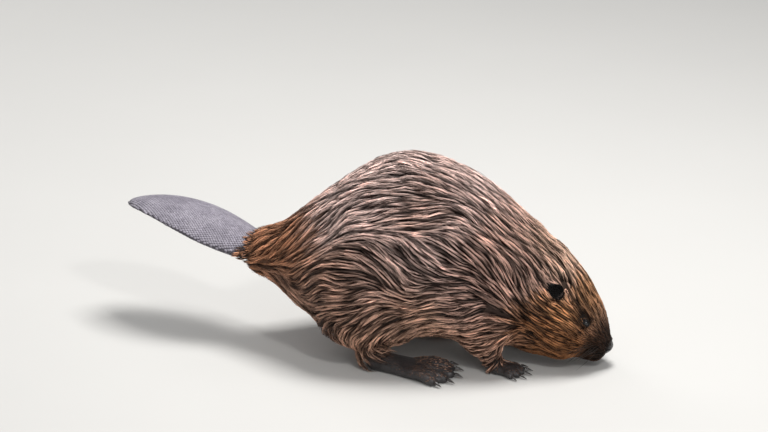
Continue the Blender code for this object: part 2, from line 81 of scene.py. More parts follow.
# The head's own axes, from the nose back along the muzzle and up through the crown.
HEAD_PITCH = math.radians(42)
HEAD_BACK = np.array([-math.cos(HEAD_PITCH), 0.0, math.sin(HEAD_PITCH)])
HEAD_UP = np.array([math.sin(HEAD_PITCH), 0.0, math.cos(HEAD_PITCH)])
NOSE_TIP = np.array([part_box("head")[1].x, 0.0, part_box("nose")[0].z])

# How the hair lies: a place on the animal (forward, outward, up), the way the hair runs there, and how far
# that holds.
LIE_OF_COAT = (
    ("bridge of the nose", (0.385, 0.015, 0.085), (-0.42, 0.05, 0.90), 0.022),
    ("side of the muzzle", (0.375, 0.035, 0.060), (-0.80, 0.15, 0.50), 0.018),
    ("forehead", (0.360, 0.020, 0.140), (-0.54, 0.00, 0.83), 0.025),
    ("crown", (0.332, 0.020, 0.176), (-0.61, 0.00, 0.79), 0.025),
    ("temple", (0.337, 0.049, 0.127), (-0.68, 0.05, 0.72), 0.018),
    ("cheek", (0.335, 0.056, 0.090), (-0.85, 0.08, 0.51), 0.018),
    ("jowl", (0.338, 0.057, 0.060), (-0.84, 0.00, 0.54), 0.018),
    ("corner of the jaw", (0.307, 0.061, 0.067), (-0.64, 0.05, 0.76), 0.020),
    ("chin", (0.360, 0.015, 0.018), (-0.97, 0.00, -0.05), 0.022),
    ("throat", (0.290, 0.030, 0.030), (-0.98, 0.05, 0.10), 0.030),
    ("below the ear", (0.307, 0.065, 0.112), (-0.76, 0.10, 0.64), 0.020),
    ("nape", (0.289, 0.015, 0.216), (-0.64, 0.00, 0.77), 0.028),
    ("top of the neck", (0.300, 0.040, 0.195), (-0.85, 0.10, 0.52), 0.022),
    ("side of the neck", (0.275, 0.075, 0.165), (-0.32, 0.10, 0.94), 0.020),
    ("foot of the neck", (0.245, 0.090, 0.125), (-0.70, 0.10, 0.70), 0.024),
    ("withers", (0.240, 0.054, 0.235), (-0.80, 0.05, 0.60), 0.028),
    ("front of the shoulder", (0.240, 0.085, 0.185), (-0.50, 0.05, 0.86), 0.022),
    ("shoulder", (0.220, 0.100, 0.150), (-0.62, 0.05, 0.78), 0.020),
    ("above the shoulder", (0.200, 0.085, 0.235), (-0.80, 0.05, 0.60), 0.026),
    ("behind the shoulder, above", (0.165, 0.105, 0.212), (-0.86, 0.05, 0.50), 0.022),
    ("behind the shoulder", (0.165, 0.113, 0.183), (-0.99, 0.05, 0.06), 0.014),
    ("behind the shoulder, below", (0.168, 0.114, 0.155), (-0.87, 0.05, -0.49), 0.018),
    ("behind the elbow", (0.143, 0.119, 0.132), (-0.97, 0.05, -0.15), 0.022),
    ("upper foreleg", (0.210, 0.100, 0.110), (-0.90, 0.05, -0.40), 0.020),
    ("front of the foreleg", (0.237, 0.098, 0.097), (-0.98, 0.10, 0.12), 0.018),
    ("elbow", (0.205, 0.091, 0.050), (-0.88, 0.05, -0.47), 0.020),
    ("lower foreleg", (0.242, 0.072, 0.045), (-0.62, 0.20, -0.75), 0.018),
    ("forefoot", (0.260, 0.070, 0.014), (0.95, 0.05, -0.25), 0.018),
    ("upper flank", (0.143, 0.089, 0.265), (-0.98, 0.10, -0.12), 0.030),
    ("loin", (0.082, 0.100, 0.265), (-0.93, 0.05, -0.36), 0.028),
    ("above the hip", (0.085, 0.112, 0.238), (-1.00, 0.05, 0.05), 0.016),
    ("flank", (0.145, 0.113, 0.209), (-0.84, 0.05, 0.54), 0.022),
    ("lower flank", (0.146, 0.119, 0.163), (-0.87, 0.05, 0.48), 0.022),
    ("flank before the thigh", (0.120, 0.123, 0.176), (-0.78, 0.00, 0.62), 0.018),
    ("fold before the thigh", (0.102, 0.120, 0.218), (-0.60, 0.00, 0.80), 0.016),
    ("side of the belly", (0.138, 0.118, 0.120), (-0.99, 0.05, 0.08), 0.022),
    ("belly", (0.130, 0.040, 0.045), (-0.99, 0.00, -0.05), 0.050),
    ("back of the neck", (0.255, 0.010, 0.242), (-0.80, 0.00, 0.60), 0.030),
    ("fore back", (0.176, 0.016, 0.297), (-0.90, 0.00, 0.43), 0.035),
    ("top of the back", (0.097, 0.020, 0.324), (-1.00, 0.00, 0.03), 0.035),
    ("hind back", (0.017, 0.024, 0.308), (-0.86, 0.00, -0.51), 0.035),
    ("croup", (-0.045, 0.035, 0.262), (-0.78, 0.02, -0.63), 0.035),
    ("rump", (-0.101, 0.041, 0.213), (-0.74, 0.00, -0.67), 0.035),
    ("side of the rump", (-0.030, 0.104, 0.216), (-0.72, 0.03, -0.69), 0.026),
    ("hip", (0.028, 0.112, 0.240), (-0.98, 0.05, -0.10), 0.020),
    ("top of the thigh", (0.045, 0.125, 0.208), (-0.72, 0.00, 0.69), 0.018),
    ("behind the thigh, above", (-0.006, 0.120, 0.205), (-0.97, 0.00, 0.05), 0.020),
    ("middle of the thigh", (0.045, 0.131, 0.175), (-0.82, 0.00, 0.57), 0.022),
    ("behind the thigh", (-0.003, 0.131, 0.169), (-0.97, 0.00, 0.18), 0.024),
    ("front of the thigh", (0.091, 0.128, 0.165), (-0.40, 0.00, 0.92), 0.014),
    ("knee", (0.094, 0.125, 0.125), (-0.97, 0.05, 0.20), 0.016),
    ("lower thigh", (0.010, 0.137, 0.130), (-0.97, 0.00, -0.20), 0.024),
    ("shin", (0.049, 0.133, 0.085), (-0.62, 0.05, -0.78), 0.026),
    ("back of the thigh", (-0.052, 0.110, 0.165), (-0.85, 0.00, -0.50), 0.028),
    ("ankle", (0.000, 0.110, 0.045), (0.30, 0.05, -0.95), 0.020),
    ("instep", (0.070, 0.095, 0.025), (0.97, 0.05, -0.20), 0.030),
    ("root of the tail", (-0.160, 0.010, 0.160), (-0.95, 0.15, -0.25), 0.030),
    ("under the rump", (-0.090, 0.030, 0.110), (-0.85, 0.00, 0.45), 0.035),
)

# The marks of the coat: which hair colour, where it is (forward, outward, up) and how far it reaches. The
# hair colours are the lit colours of the ribs, with a painted sheen of wet hair in them.
MARKINGS = (
    ("back", (0.100, 0.030, 0.318), 0.060),
    ("back", (0.025, 0.070, 0.280), 0.054),
    ("back", (0.200, 0.050, 0.270), 0.050),
    ("shoulder", (0.165, 0.068, 0.278), 0.048),
    ("flank", (0.150, 0.112, 0.210), 0.050),
    ("flank", (0.090, 0.120, 0.190), 0.050),
    ("thigh", (0.150, 0.085, 0.262), 0.030),
    ("shoulder", (0.225, 0.095, 0.140), 0.045),
    ("neck", (0.270, 0.060, 0.200), 0.040),
    ("neck", (0.290, 0.060, 0.140), 0.025),
    ("crown_hair", (0.330, 0.015, 0.175), 0.030),
    ("rump", (-0.100, 0.050, 0.210), 0.040),
    ("rump", (-0.160, 0.010, 0.155), 0.045),
    ("rump", (-0.078, 0.078, 0.203), 0.048),
    ("thigh", (0.040, 0.130, 0.160), 0.045),
    ("thigh", (-0.040, 0.110, 0.130), 0.045),
    ("belly", (0.130, 0.060, 0.060), 0.060),
    ("belly", (0.130, 0.118, 0.120), 0.030),
    ("belly", (0.050, 0.120, 0.080), 0.035),
    ("foreleg", (0.230, 0.085, 0.060), 0.035),
    ("cheek", (0.317, 0.065, 0.116), 0.011),
    ("cheek", (0.330, 0.061, 0.104), 0.012),
    ("cheek", (0.343, 0.056, 0.092), 0.011),
    ("cheek", (0.354, 0.050, 0.080), 0.009),
    ("jaw", (0.345, 0.050, 0.050), 0.018),
    ("jaw", (0.318, 0.062, 0.070), 0.020),
    ("jaw", (0.290, 0.065, 0.080), 0.022),
    ("jaw", (0.320, 0.030, 0.020), 0.030),
    ("bridge", (0.372, 0.020, 0.110), 0.018),
    ("muzzle", (0.368, 0.044, 0.085), 0.012),
    # Painted shade: dark hair colour in the recess behind the ear.
    ("muzzle", (0.313, 0.064, 0.143), 0.010),
    ("muzzle", (0.400, 0.012, 0.046), 0.011),
    ("muzzle", (0.389, 0.028, 0.032), 0.012),
    ("muzzle", (0.374, 0.020, 0.016), 0.012),
    ("foot", (0.245, 0.075, 0.008), 0.022),
    ("foot", (0.040, 0.100, 0.012), 0.030),
    ("foot", (0.100, 0.100, 0.010), 0.040),
)
# How sharply a stroke of the lie and a mark of the colour give way to the next one.
LIE_FALLOFF = 4
MARK_FALLOFF = 4.6

# ---------------------------------------------------------------- numbers and meshes


def linear(code):
    """A screen colour such as "a0b0c0" as the linear red, green and blue that shaders use."""
    # The numbers are those of the usual screen curve.
    screen = [int(code[place : place + 2], 16) / 255 for place in (0, 2, 4)]
    return tuple(c / 12.92 if c <= 0.04045 else ((c + 0.055) / 1.055) ** 2.4 for c in screen)


def unit(vectors):
    """Vectors of length one."""
    return vectors / np.maximum(np.linalg.norm(vectors, axis=-1, keepdims=True), 1e-12)


def dot(first, second):
    """Dot product along the last axis."""
    return np.einsum("...i,...i->...", first, second)


def ramp(values, low, high):
    """0 at low, 1 at high, with a soft start and end."""
    t = np.clip((values - low) / (high - low), 0.0, 1.0)
    return t * t * (3 - 2 * t)


def mirrored(place, side):
    """A (forward, outward, up) place or direction on that side."""
    return np.array([place[0], place[1] * SIDES[side], place[2]])


def on_head(back, out, up, side="left"):
    """A point given from the nose tip: back along the muzzle, out to the side and up through the crown."""
    return NOSE_TIP + back * HEAD_BACK + up * HEAD_UP + np.array([0.0, out * SIDES[side], 0.0])


def centre_of(node):
    """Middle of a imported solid's box."""
    low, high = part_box(node)
    return np.array((low + high) / 2)


def read_points(mesh):
    """The points of a mesh, one row each."""
    points = np.empty(len(mesh.vertices) * 3, np.float32)
    mesh.vertices.foreach_get("co", points)
    return points.reshape(-1, 3).astype(float)


def read_triangles(mesh, what="vertices"):
    """The triangles of a mesh, as its points or as its corners."""
    mesh.calc_loop_triangles()
    triangles = np.empty(len(mesh.loop_triangles) * 3, np.int32)
    mesh.loop_triangles.foreach_get(what, triangles)
    return triangles.reshape(-1, 3)


def read_edges(mesh):
    """The edges of a mesh, as pairs of points."""
    edges = np.empty(len(mesh.edges) * 2, np.int32)
    mesh.edges.foreach_get("vertices", edges)
    return edges.reshape(-1, 2)


def new_mesh(name, points, faces):
    """A smooth-shaded mesh from rows of points and rows of equal-sided faces."""
    mesh = bpy.data.meshes.new(name)
    mesh.vertices.add(len(points))
    mesh.vertices.foreach_set("co", np.asarray(points, np.float32).ravel())
    mesh.loops.add(faces.size)
    mesh.loops.foreach_set("vertex_index", np.asarray(faces, np.int32).ravel())
    mesh.polygons.add(len(faces))
    mesh.polygons.foreach_set("loop_start", np.arange(0, faces.size, faces.shape[1], dtype=np.int32))
    mesh.update(calc_edges=True)
    mesh.polygons.foreach_set("use_smooth", np.ones(len(faces), bool))
    return mesh


def write_points(mesh, points):
    """Moves a mesh's points."""
    mesh.vertices.foreach_set("co", points.astype(np.float32).ravel())


def repeated(faces, each, count):
    """The triangles of one shape, repeated for many like it that have that many points each."""
    return (faces[None] + (np.arange(count) * each)[:, None, None]).reshape(-1, 3)


def to_scene(name, data):
    """A new object in the scene."""
    made = bpy.data.objects.new(name, data)
    bpy.context.scene.collection.objects.link(made)
    return made


def new_piece(name, mesh, slot, *materials):
    """An object of the model that rides on its body and has the given materials. The slot that it is given is
    not used.
    """
    piece = to_scene(name, mesh)
    for material in materials:
        mesh.materials.append(material)
    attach(piece, "root")
    return piece


def set_colours(mesh, colours):
    """Stores one colour for each point, where the materials look for it."""
    layer = mesh.color_attributes.new(COLOUR, "FLOAT_COLOR", "POINT")
    opaque = np.ones((len(colours), 4), np.float32)
    opaque[:, :3] = colours
    layer.data.foreach_set("color", opaque.ravel())


def with_modifier(mesh, kind, prepare=None, **settings):
    """The mesh that one modifier makes of another."""
    holder = to_scene("holder", mesh)
    if prepare is not None:
        prepare(holder)
    modifier = holder.modifiers.new("once", kind)
    for setting, value in settings.items():
        setattr(modifier, setting, value)
    graph = bpy.context.evaluated_depsgraph_get()
    made = bpy.data.meshes.new_from_object(holder.evaluated_get(graph))
    bpy.data.objects.remove(holder)
    bpy.data.meshes.remove(mesh)
    return made


def kind_of(part):
    """A part's name without its side."""
    return part.removesuffix("_right").removesuffix("_left")


def per_part(table, parts, otherwise):
    """A value for each point from a table by kind of part."""
    return np.array([table.get(kind_of(name), otherwise) for name in PARTS])[parts]


def of_parts(parts, *wanted):
    """Which points are of the wanted parts. A name without a side stands for both."""
    chosen = [number for number, name in enumerate(PARTS) if name in wanted or kind_of(name) in wanted]
    return np.isin(parts, chosen)


def blend_corners(values, shares):
    """One value for each point in a triangle, from those of its corners."""
    return (values * shares.reshape(shares.shape + (1,) * (values.ndim - 2))).sum(axis=1)


def point_normals(points, triangles):
    """The normal at each point, weighed by the area of the triangles round it."""
    corners = points[triangles]
    facing = np.cross(corners[:, 1] - corners[:, 0], corners[:, 2] - corners[:, 0])
    total = np.zeros_like(points)
    for corner in range(3):
        for axis in range(3):
            total[:, axis] += np.bincount(triangles[:, corner], facing[:, axis], len(points))
    return unit(total)


class Web:
    """The edges of a mesh, for averages over each point's neighbours."""

    def __init__(self, edges, count):
        start = np.concatenate([edges[:, 0], edges[:, 1]])
        end = np.concatenate([edges[:, 1], edges[:, 0]])
        order = np.argsort(start, kind="stable")
        self.ends = end[order]
        self.first = np.searchsorted(start[order], np.arange(count))
        self.share = 1.0 / np.bincount(start, minlength=count)[:, None]

    def relaxed(self, values, passes, strength):
        """Values drawn that many times towards the mean of their neighbours."""
        for _ in range(passes):
            mean = np.add.reduceat(values[self.ends], self.first, axis=0) * self.share
            values = values + strength * (mean - values)
        return values


class Surface:
    """A mesh to find the nearest points on, with its smooth normals."""

    def __init__(self, points, triangles):
        self.points = points
        self.triangles = triangles
        self.normals = point_normals(points, triangles)
        self.tree = BVHTree.FromPolygons(points.tolist(), triangles.tolist())

    def nearest(self, points):
        """(points on the surface, their triangles)."""
        found = [self.tree.find_nearest(point) for point in points.tolist()]
        return np.array([hit[0] for hit in found]), np.array([hit[2] for hit in found])

    def smooth_normals(self, points, chosen):
        """Normals at points of the chosen triangles, blended between the corners."""
        corners = self.points[self.triangles[chosen]]
        across = np.cross(corners[:, 1] - corners[:, 0], corners[:, 2] - corners[:, 0])
        area = np.maximum(dot(across, across), 1e-24)
        shares = []
        for corner in range(3):
            a, b = corners[:, (corner + 1) % 3], corners[:, (corner + 2) % 3]
            shares.append(dot(np.cross(a - points, b - points), across) / area)
        blend = np.clip(np.stack(shares, axis=1), 0.0, 1.0)[:, :, None]
        return unit((self.normals[self.triangles[chosen]] * blend).sum(axis=1))


# ---------------------------------------------------------------- finishes


class Finish:
    """A material being wired: a Principled shader and short calls that add nodes to it."""

    def __init__(self, name, **constants):
        self.material = bpy.data.materials.new(name)
        self.material.use_nodes = True
        self.tree = self.material.node_tree
        self.shader = self.tree.nodes["Principled BSDF"]
        self.spots = self.add("ShaderNodeTexCoord").outputs["Object"]
        for socket, value in constants.items():
            self.shader.inputs[socket.replace("_", " ")].default_value = value

    def add(self, kind, **settings):
        """A new node."""
        node = self.tree.nodes.new(kind)
        for setting, value in settings.items():
            setattr(node, setting, value)
        return node

    def link(self, source, target):
        """Feeds a socket from another one."""
        self.tree.links.new(source, target)

    def feed(self, source, target):
        """Feeds a socket from another one or with a plain colour."""
        if isinstance(source, bpy.types.NodeSocket):
            self.link(source, target)
        else:
            target.default_value = (*source[:3], 1.0)[: len(target.default_value)]

    def attribute(self):
        """The colour stored on the mesh."""
        return self.add("ShaderNodeAttribute", attribute_name=COLOUR).outputs["Color"]

    def noise(self, scale, detail=3.0):
        """A noise pattern, with its scale in grains per metre."""
        node = self.add("ShaderNodeTexNoise")
        node.inputs["Scale"].default_value = scale
        node.inputs["Detail"].default_value = detail
        self.link(self.spots, node.inputs["Vector"])
        return node.outputs["Fac"]

    def cells(self, scale):
        """A pattern of cells, as in leathery skin: the distance to the nearest edge."""
        node = self.add("ShaderNodeTexVoronoi", feature="DISTANCE_TO_EDGE")
        node.inputs["Scale"].default_value = scale
        self.link(self.spots, node.inputs["Vector"])
        return node.outputs["Distance"]

    def mapped(self, value, old=(0.0, 1.0), new=(0.0, 1.0)):
        """A value carried over from an old span to a new one, and held within it."""
        node = self.add("ShaderNodeMapRange", clamp=True)
        for socket, number in zip(("From Min", "From Max", "To Min", "To Max"), (*old, *new)):
            node.inputs[socket].default_value = number
        self.link(value, node.inputs["Value"])
        return node.outputs["Result"]

    def tint(self, colour, value, darkest, lightest):
        """A colour whose brightness follows a value from 0 to 1."""
        node = self.add("ShaderNodeVectorMath", operation="SCALE")
        self.feed(colour, node.inputs[0])
        self.link(self.mapped(value, new=(darkest, lightest)), node.inputs["Scale"])
        return node.outputs["Vector"]

    def mixed(self, share, first, second):
        """Two colours mixed by a value from 0 to 1."""
        node = self.add("ShaderNodeMix", data_type="RGBA")
        first_colour, second_colour, mixed_colour = node.inputs[6], node.inputs[7], node.outputs[2]
        self.link(share, node.inputs["Factor"])
        self.feed(first, first_colour)
        self.feed(second, second_colour)
        return mixed_colour

    def colour(self, source):
        """The shader's own colour."""
        self.link(source, self.shader.inputs["Base Color"])

    def rough(self, value, low, high):
        """Roughness that follows a value from 0 to 1."""
        self.link(self.mapped(value, new=(low, high)), self.shader.inputs["Roughness"])

    def bump(self, *reliefs):
        """Relief from (pattern, height in metres) pairs."""
        normal = None
        for pattern, height in reliefs:
            node = self.add("ShaderNodeBump")
            node.inputs["Distance"].default_value = height
            self.link(pattern, node.inputs["Height"])
            if normal is not None:
                self.link(normal, node.inputs["Normal"])
            normal = node.outputs["Normal"]
        self.link(normal, self.shader.inputs["Normal"])


def wet_hair(look):
    """Guard hair, wet and glossy, in the colours stored on the locks."""
    finish = Finish(
        "wet_hair",
        Roughness=look.roughness,
        Specular_IOR_Level=look.shine,
        Coat_Weight=look.wetness,
        Coat_Roughness=0.2,
    )
    streaks = finish.noise(scale=900.0, detail=2.0)
    finish.colour(finish.tint(finish.attribute(), streaks, darkest=0.80, lightest=1.20))
    return finish.material


def wet_underfur():
    """The matted wool under the guard hair, soaked; its dark colour is partly its own and partly painted
    shade under the coat.
    """
    finish = Finish("wet_underfur", Roughness=0.6, Specular_IOR_Level=0.15)
    wool = finish.noise(scale=260.0, detail=4.0)
    finish.colour(finish.tint(finish.attribute(), wool, darkest=0.55, lightest=1.35))
    finish.bump((wool, 0.0012), (finish.noise(scale=1100.0), 0.0003))
    return finish.material


def leather(name, colour, pale, scale, roughness, relief, shine):
    """Bare, pebbled skin in two tones. Its relief and its shine are shares of the feet's."""
    finish = Finish(name, Specular_IOR_Level=0.5 * shine, Coat_Weight=0.25 * shine, Coat_Roughness=0.3)
    pebbles = finish.mapped(finish.cells(scale), old=(0.0, 0.16))
    blotches = finish.noise(scale=90.0, detail=4.0)
    tone = finish.mixed(finish.mapped(blotches, old=(0.35, 0.7)), linear(colour), linear(pale))
    # The pebbles' edges are darkened as painted shade in the creases between them, the more the deeper the
    # relief.
    finish.colour(finish.tint(tone, pebbles, darkest=1.0 - 0.55 * relief, lightest=1.1))
    finish.rough(blotches, low=roughness - 0.12, high=roughness + 0.14)
    finish.bump((pebbles, 0.0004 * relief), (finish.noise(scale=1500.0), 0.00015 * relief))
    return finish.material


def tail_scale(look):
    """The tail's horny scales: slate blue, darker along their edges with painted shade in the crevices
    between them, and faintly blotched.
    """
    finish = Finish("tail_scale", Coat_Weight=0.2, Coat_Roughness=0.35)
    blotches = finish.noise(scale=38.0, detail=5.0)
    grain = finish.noise(scale=1400.0)
    tone = finish.mixed(finish.mapped(blotches, old=(0.35, 0.68)), look.shadow, look.colour)
    shaded = finish.tint(finish.attribute(), grain, darkest=0.85, lightest=1.15)
    node = finish.add("ShaderNodeVectorMath", operation="MULTIPLY")
    finish.link(tone, node.inputs[0])
    finish.link(shaded, node.inputs[1])
    finish.colour(node.outputs["Vector"])
    finish.rough(grain, low=0.38, high=0.6)
    finish.bump((grain, 0.0002))
    return finish.material


def claw_horn(colour):
    """Dark horn with fine lengthwise wear."""
    finish = Finish("claw_horn", Coat_Weight=0.3, Coat_Roughness=0.2)
    wear = finish.noise(scale=700.0, detail=4.0)
    finish.colour(finish.tint(colour, wear, darkest=0.55, lightest=1.7))
    finish.rough(wear, low=0.25, high=0.5)
    finish.bump((wear, 0.00025))
    return finish.material


def eye_gloss():
    """A wet eyeball in the tones stored on it."""
    finish = Finish("eye_gloss", Roughness=0.17, Specular_IOR_Level=0.6)
    fibres = finish.noise(scale=2600.0)
    finish.colour(finish.tint(finish.attribute(), fibres, darkest=0.6, lightest=1.4))
    return finish.material


def whisker_bristle(colour):
    """A stiff, dark bristle."""
    finish = Finish("whisker", Roughness=0.35)
    finish.colour(finish.tint(colour, finish.noise(scale=400.0), darkest=0.6, lightest=1.4))
    return finish.material
# ---------------------------------------------------------------- the skin

# How far each kind of part has its facets smoothed away: 1 for the furred body, little for fine forms.
SMOOTHED = {
    "trunk": 1.0,
    "neck": 0.9,
    "tail_root": 0.8,
    "hind_leg": 0.8,
    "foreleg": 0.6,
    "tail": 0.45,
    "head": 0.30,
    "nose": 0.12,
}
LEAST_SMOOTHED = 0.06

# The coat's depth over each kind of part, as a share of its depth over the back.
COAT_SHARE = {
    "trunk": 1.0,
    "neck": 0.9,
    "hind_leg": 0.85,
    "foreleg": 0.6,
    "tail_root": 0.5,
    "eye": 0.2,
    "ear": 0.08,
    "tail": 0.06,
}
# The same over the head, by the distance back along it from the nose tip.
HEAD_COAT_SHARE = ((0.0, 0.10), (0.035, 0.20), (0.09, 0.36), (0.145, 0.60), (0.185, 0.85))

# Rounds of smoothing, as passes over the mesh and the strength of each.
DEPTH_BLEND = (60, 0.95)
SMOOTHED_BLEND = (20, 0.9)
BODY_SMOOTHING = (70, 0.95)
LAST_SMOOTHING = (3, 0.5)
FURRED_SMOOTHING = (12, 0.9)
MEASURED_BLEND = (8, 0.9)

FURRED_DEPTH = (0.001, 0.006)  # depths of coat between which skin turns from bare to furred
HIDDEN_DEPTH = (0.003, 0.006)  # depths between which the coat comes to hide the skin
HIDDEN_STEPS = 10  # levels of hiding told apart when faces are thinned out
NOSE_MIDDLE = (0.015, 0.0, 0.001)  # (back, out, up) from the nose tip
NOSE_REFINED = 0.026  # radius within which the faces of the nose are divided
EYE_REFINED = (0.013, 0.011)  # radii within which the faces round the eyes are divided

# Lines drawn on the head with (back, out, up) from the nose tip. Each is pressed in by (reach, depth) pairs,
# and a negative depth raises a ridge beside it.
NOSTRIL_LINE = ((0.0065, 0.0115, 0.0070), (0.0095, 0.0150, 0.0050), (0.0140, 0.0165, 0.0010))
NOSTRIL_PRESSES = ((0.0052, -0.0012), (0.0026, 0.0055))
MOUTH_LINE = ((0.010, 0.002, -0.012), (0.017, 0.012, -0.020), (0.030, 0.022, -0.026), (0.044, 0.030, -0.026))
MOUTH_PRESSES = ((0.0045, -0.0006), (0.0020, 0.0028))
CLEFT_LINE = ((-0.001, 0.0, 0.011), (-0.001, 0.0, 0.001), (0.003, 0.0, -0.005), (0.010, 0.0, -0.012))
CLEFT_PRESSES = ((0.0022, 0.0014),)

# The fold between flank and thigh, as (forward, outward, up).
THIGH_FOLD = ((0.060, 0.126, 0.218), (0.072, 0.130, 0.190), (0.086, 0.130, 0.155), (0.102, 0.126, 0.128))
FOLD_REACH = 0.018

# The eye: where it looks (forward, outward, up), how full the almond of its lids is, and the section of the
# lids as (distance outside the opening, height of the skin over the eyeball).
GAZE = (0.34, 0.90, 0.28)
ALMOND_POWER = 1.7
LID_SECTION = (
    (-0.0008, -0.0016),
    (0.0, 0.0004),
    (0.0005, 0.0011),
    (0.0013, 0.0012),
    (0.0024, 0.0002),
    (0.0034, 0.0008),
    (0.0050, 0.0002),
)
LID_FADE = (0.0028, 0.0060)  # distances outside the opening over which the lids pass into the head
LID_REACH = 0.0065
EYE_REACH = 2.2  # radii of the eyeball within which anything is measured from it
BARE_LID = 0.0022  # width of the bare leather round the opening
HAIRLESS_LID = 0.0014  # width of the rim on which no lock grows

# The skin's leathers: name, tones, pebbles per metre, roughness, and relief and shine beside the feet's.
LEATHERS = (
    ("tail_leather", "3d3a42", "55505a", 420.0, 0.5, 1.0, 1.0),
    ("foot_leather", "2b2727", "454040", 520.0, 0.5, 1.0, 1.0),
    ("nose_leather", "0b090a", "151213", 1500.0, 0.24, 0.25, 1.0),
    ("ear_leather", "070505", "0f0b0a", 700.0, 0.75, 0.2, 0.15),
    ("lid_leather", "070504", "0d0a09", 900.0, 0.45, 0.05, 0.3),
)
# Which material of the skin each kind of part has. All others have the first one, the underfur.
LEATHER_OF = {"tail": 1, "forefoot": 2, "hind_foot": 2, "nose": 3, "ear": 4}
LID_LEATHER = 5
# Brightness of the skin beside the hair's own colour. It falls to the hair's root shade between these depths,
# as painted shade under the deeper coat together with the wool's darker colour.
SKIN_SHADE_DEPTHS = (0.0012, 0.0030)
BARE_SKIN_SHADE = 0.25


def solid_mesh(node):
    """(points, triangles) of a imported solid, with its doubled points made one."""
    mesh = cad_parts[node].data
    points, triangles = read_points(mesh), read_triangles(mesh)
    places = np.round(points * 1e6).astype(np.int64)
    _, first, index = np.unique(places, axis=0, return_index=True, return_inverse=True)
    return points[first], index.reshape(-1)[triangles]


def joined_solids(nodes, swell):
    """The solids' meshes as one, swollen so that they overlap: (points, triangles, part of each triangle)."""
    all_points, all_triangles, owner, count = [], [], [], 0
    for number, node in enumerate(nodes):
        points, triangles = solid_mesh(node)
        all_points.append(points + point_normals(points, triangles) * swell)
        all_triangles.append(triangles + count)
        owner += [number] * len(triangles)
        count += len(points)
    return np.concatenate(all_points), np.concatenate(all_triangles), np.array(owner)


def coat_depths(points, parts, look):
    """How deep the coat is over each point, before it is blended between the parts."""
    share = per_part(COAT_SHARE, parts, 0.0)
    back = (points - NOSE_TIP) @ HEAD_BACK
    share = np.where(of_parts(parts, "head"), np.interp(back, *zip(*HEAD_COAT_SHARE)), share)
    return share * look.depth


def refined(mesh, spots):
    """The mesh with its faces divided once within each (centre, radius) spot."""
    shape = bmesh.new()
    shape.from_mesh(mesh)
    for centre, radius in spots:
        middle = Vector(centre)
        near = [edge for edge in shape.edges if (edge.verts[0].co - middle).length < radius]
        bmesh.ops.subdivide_edges(shape, edges=near, cuts=1, use_grid_fill=True)
    shape.to_mesh(mesh)
    shape.free()
    return mesh


def away_from_line(points, line):
    """Distance of each point from a line through places."""
    nearest = np.full(len(points), np.inf)
    for start, end in zip(line[:-1], line[1:]):
        run = end - start
        along = np.clip((points - start) @ run / (run @ run), 0.0, 1.0)
        nearest = np.minimum(nearest, np.linalg.norm(points - start - along[:, None] * run, axis=1))
    return nearest


def pressed(points, normals, line, presses):
    """Points pressed in along a line by each (reach, depth), deepest on the line itself."""
    for reach, depth in presses:
        share = np.clip(1 - (away_from_line(points, line) / reach) ** 2, 0.0, 1.0) ** 2
        points = points - normals * (depth * share)[:, None]
    return points


def eye_axes(side):
    """(gaze, forwards, up) of an eye, as unit vectors."""
    gaze = unit(mirrored(GAZE, side))
    forwards = unit(-HEAD_BACK + gaze * (HEAD_BACK @ gaze))
    up = np.cross(gaze, forwards) * -SIDES[side]
    return gaze, forwards, up


def eyeball(side, look):
    """(centre, radius) of an eyeball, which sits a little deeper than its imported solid."""
    low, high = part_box(f"eye_{side}")
    radius = (high.x - low.x) / 2 * look.ball_share
    return centre_of(f"eye_{side}") - eye_axes(side)[0] * look.ball_depth, radius


def eye_measure(points, side, look):
    """How far each point is outside the almond of the lids, in metres, and its place relative to the eye."""
    gaze, forwards, up = eye_axes(side)
    centre, radius = eyeball(side, look)
    place = points - centre
    on_ball = unit(place) * radius
    along, above = on_ball @ forwards, on_ball @ up
    height = np.where(above > 0, look.opening_above, look.opening_below)
    almond = np.abs(along / look.opening_half) ** ALMOND_POWER + np.abs(above / height) ** ALMOND_POWER
    outside = (almond ** (1 / ALMOND_POWER) - 1.0) * look.opening_above
    near = (place @ gaze > 0) & (np.linalg.norm(place, axis=1) < EYE_REACH * radius)
    return np.where(near, outside, 1.0), place


def shape_lids(points, side, look):
    """Opens the lids over the eyeball. The opening sinks behind it, and its rim stands proud."""
    outside, place = eye_measure(points, side, look)
    far = np.linalg.norm(place, axis=1)
    rim = eyeball(side, look)[1] + np.interp(outside, *zip(*LID_SECTION))
    held = 1 - ramp(outside, *LID_FADE)
    wanted = far * (1 - held) + rim * held
    return points + place * ((wanted / np.maximum(far, 1e-6) - 1) * (outside < LID_REACH))[:, None]


def shape_nose(points, normals):
    """Nostrils, the groove between them, the cleft of the lip and the line of the mouth."""
    for side in SIDES:
        for line, presses in ((NOSTRIL_LINE, NOSTRIL_PRESSES), (MOUTH_LINE, MOUTH_PRESSES)):
            points = pressed(points, normals, [on_head(*place, side) for place in line], presses)
    return pressed(points, normals, [on_head(*place) for place in CLEFT_LINE], CLEFT_PRESSES)


def set_in(points, triangles, web, parts, look):
    """The fused flesh smoothed, set in by the coat's depth and folded before the thighs: (points, depths)."""
    depth = web.relaxed(coat_depths(points, parts, look)[:, None], *DEPTH_BLEND)
    soft = web.relaxed(per_part(SMOOTHED, parts, LEAST_SMOOTHED)[:, None], *SMOOTHED_BLEND)
    passes, strength = BODY_SMOOTHING
    points = web.relaxed(points, passes, strength * soft)
    points = web.relaxed(points, *LAST_SMOOTHING)
    points = points - point_normals(points, triangles) * depth
    passes, strength = FURRED_SMOOTHING
    points = web.relaxed(points, passes, strength * ramp(depth, *FURRED_DEPTH))
    for side in SIDES:
        fold = [mirrored(place, side) for place in THIGH_FOLD]
        points = pressed(points, point_normals(points, triangles), fold, ((FOLD_REACH, look.fold),))
    return points, depth[:, 0]


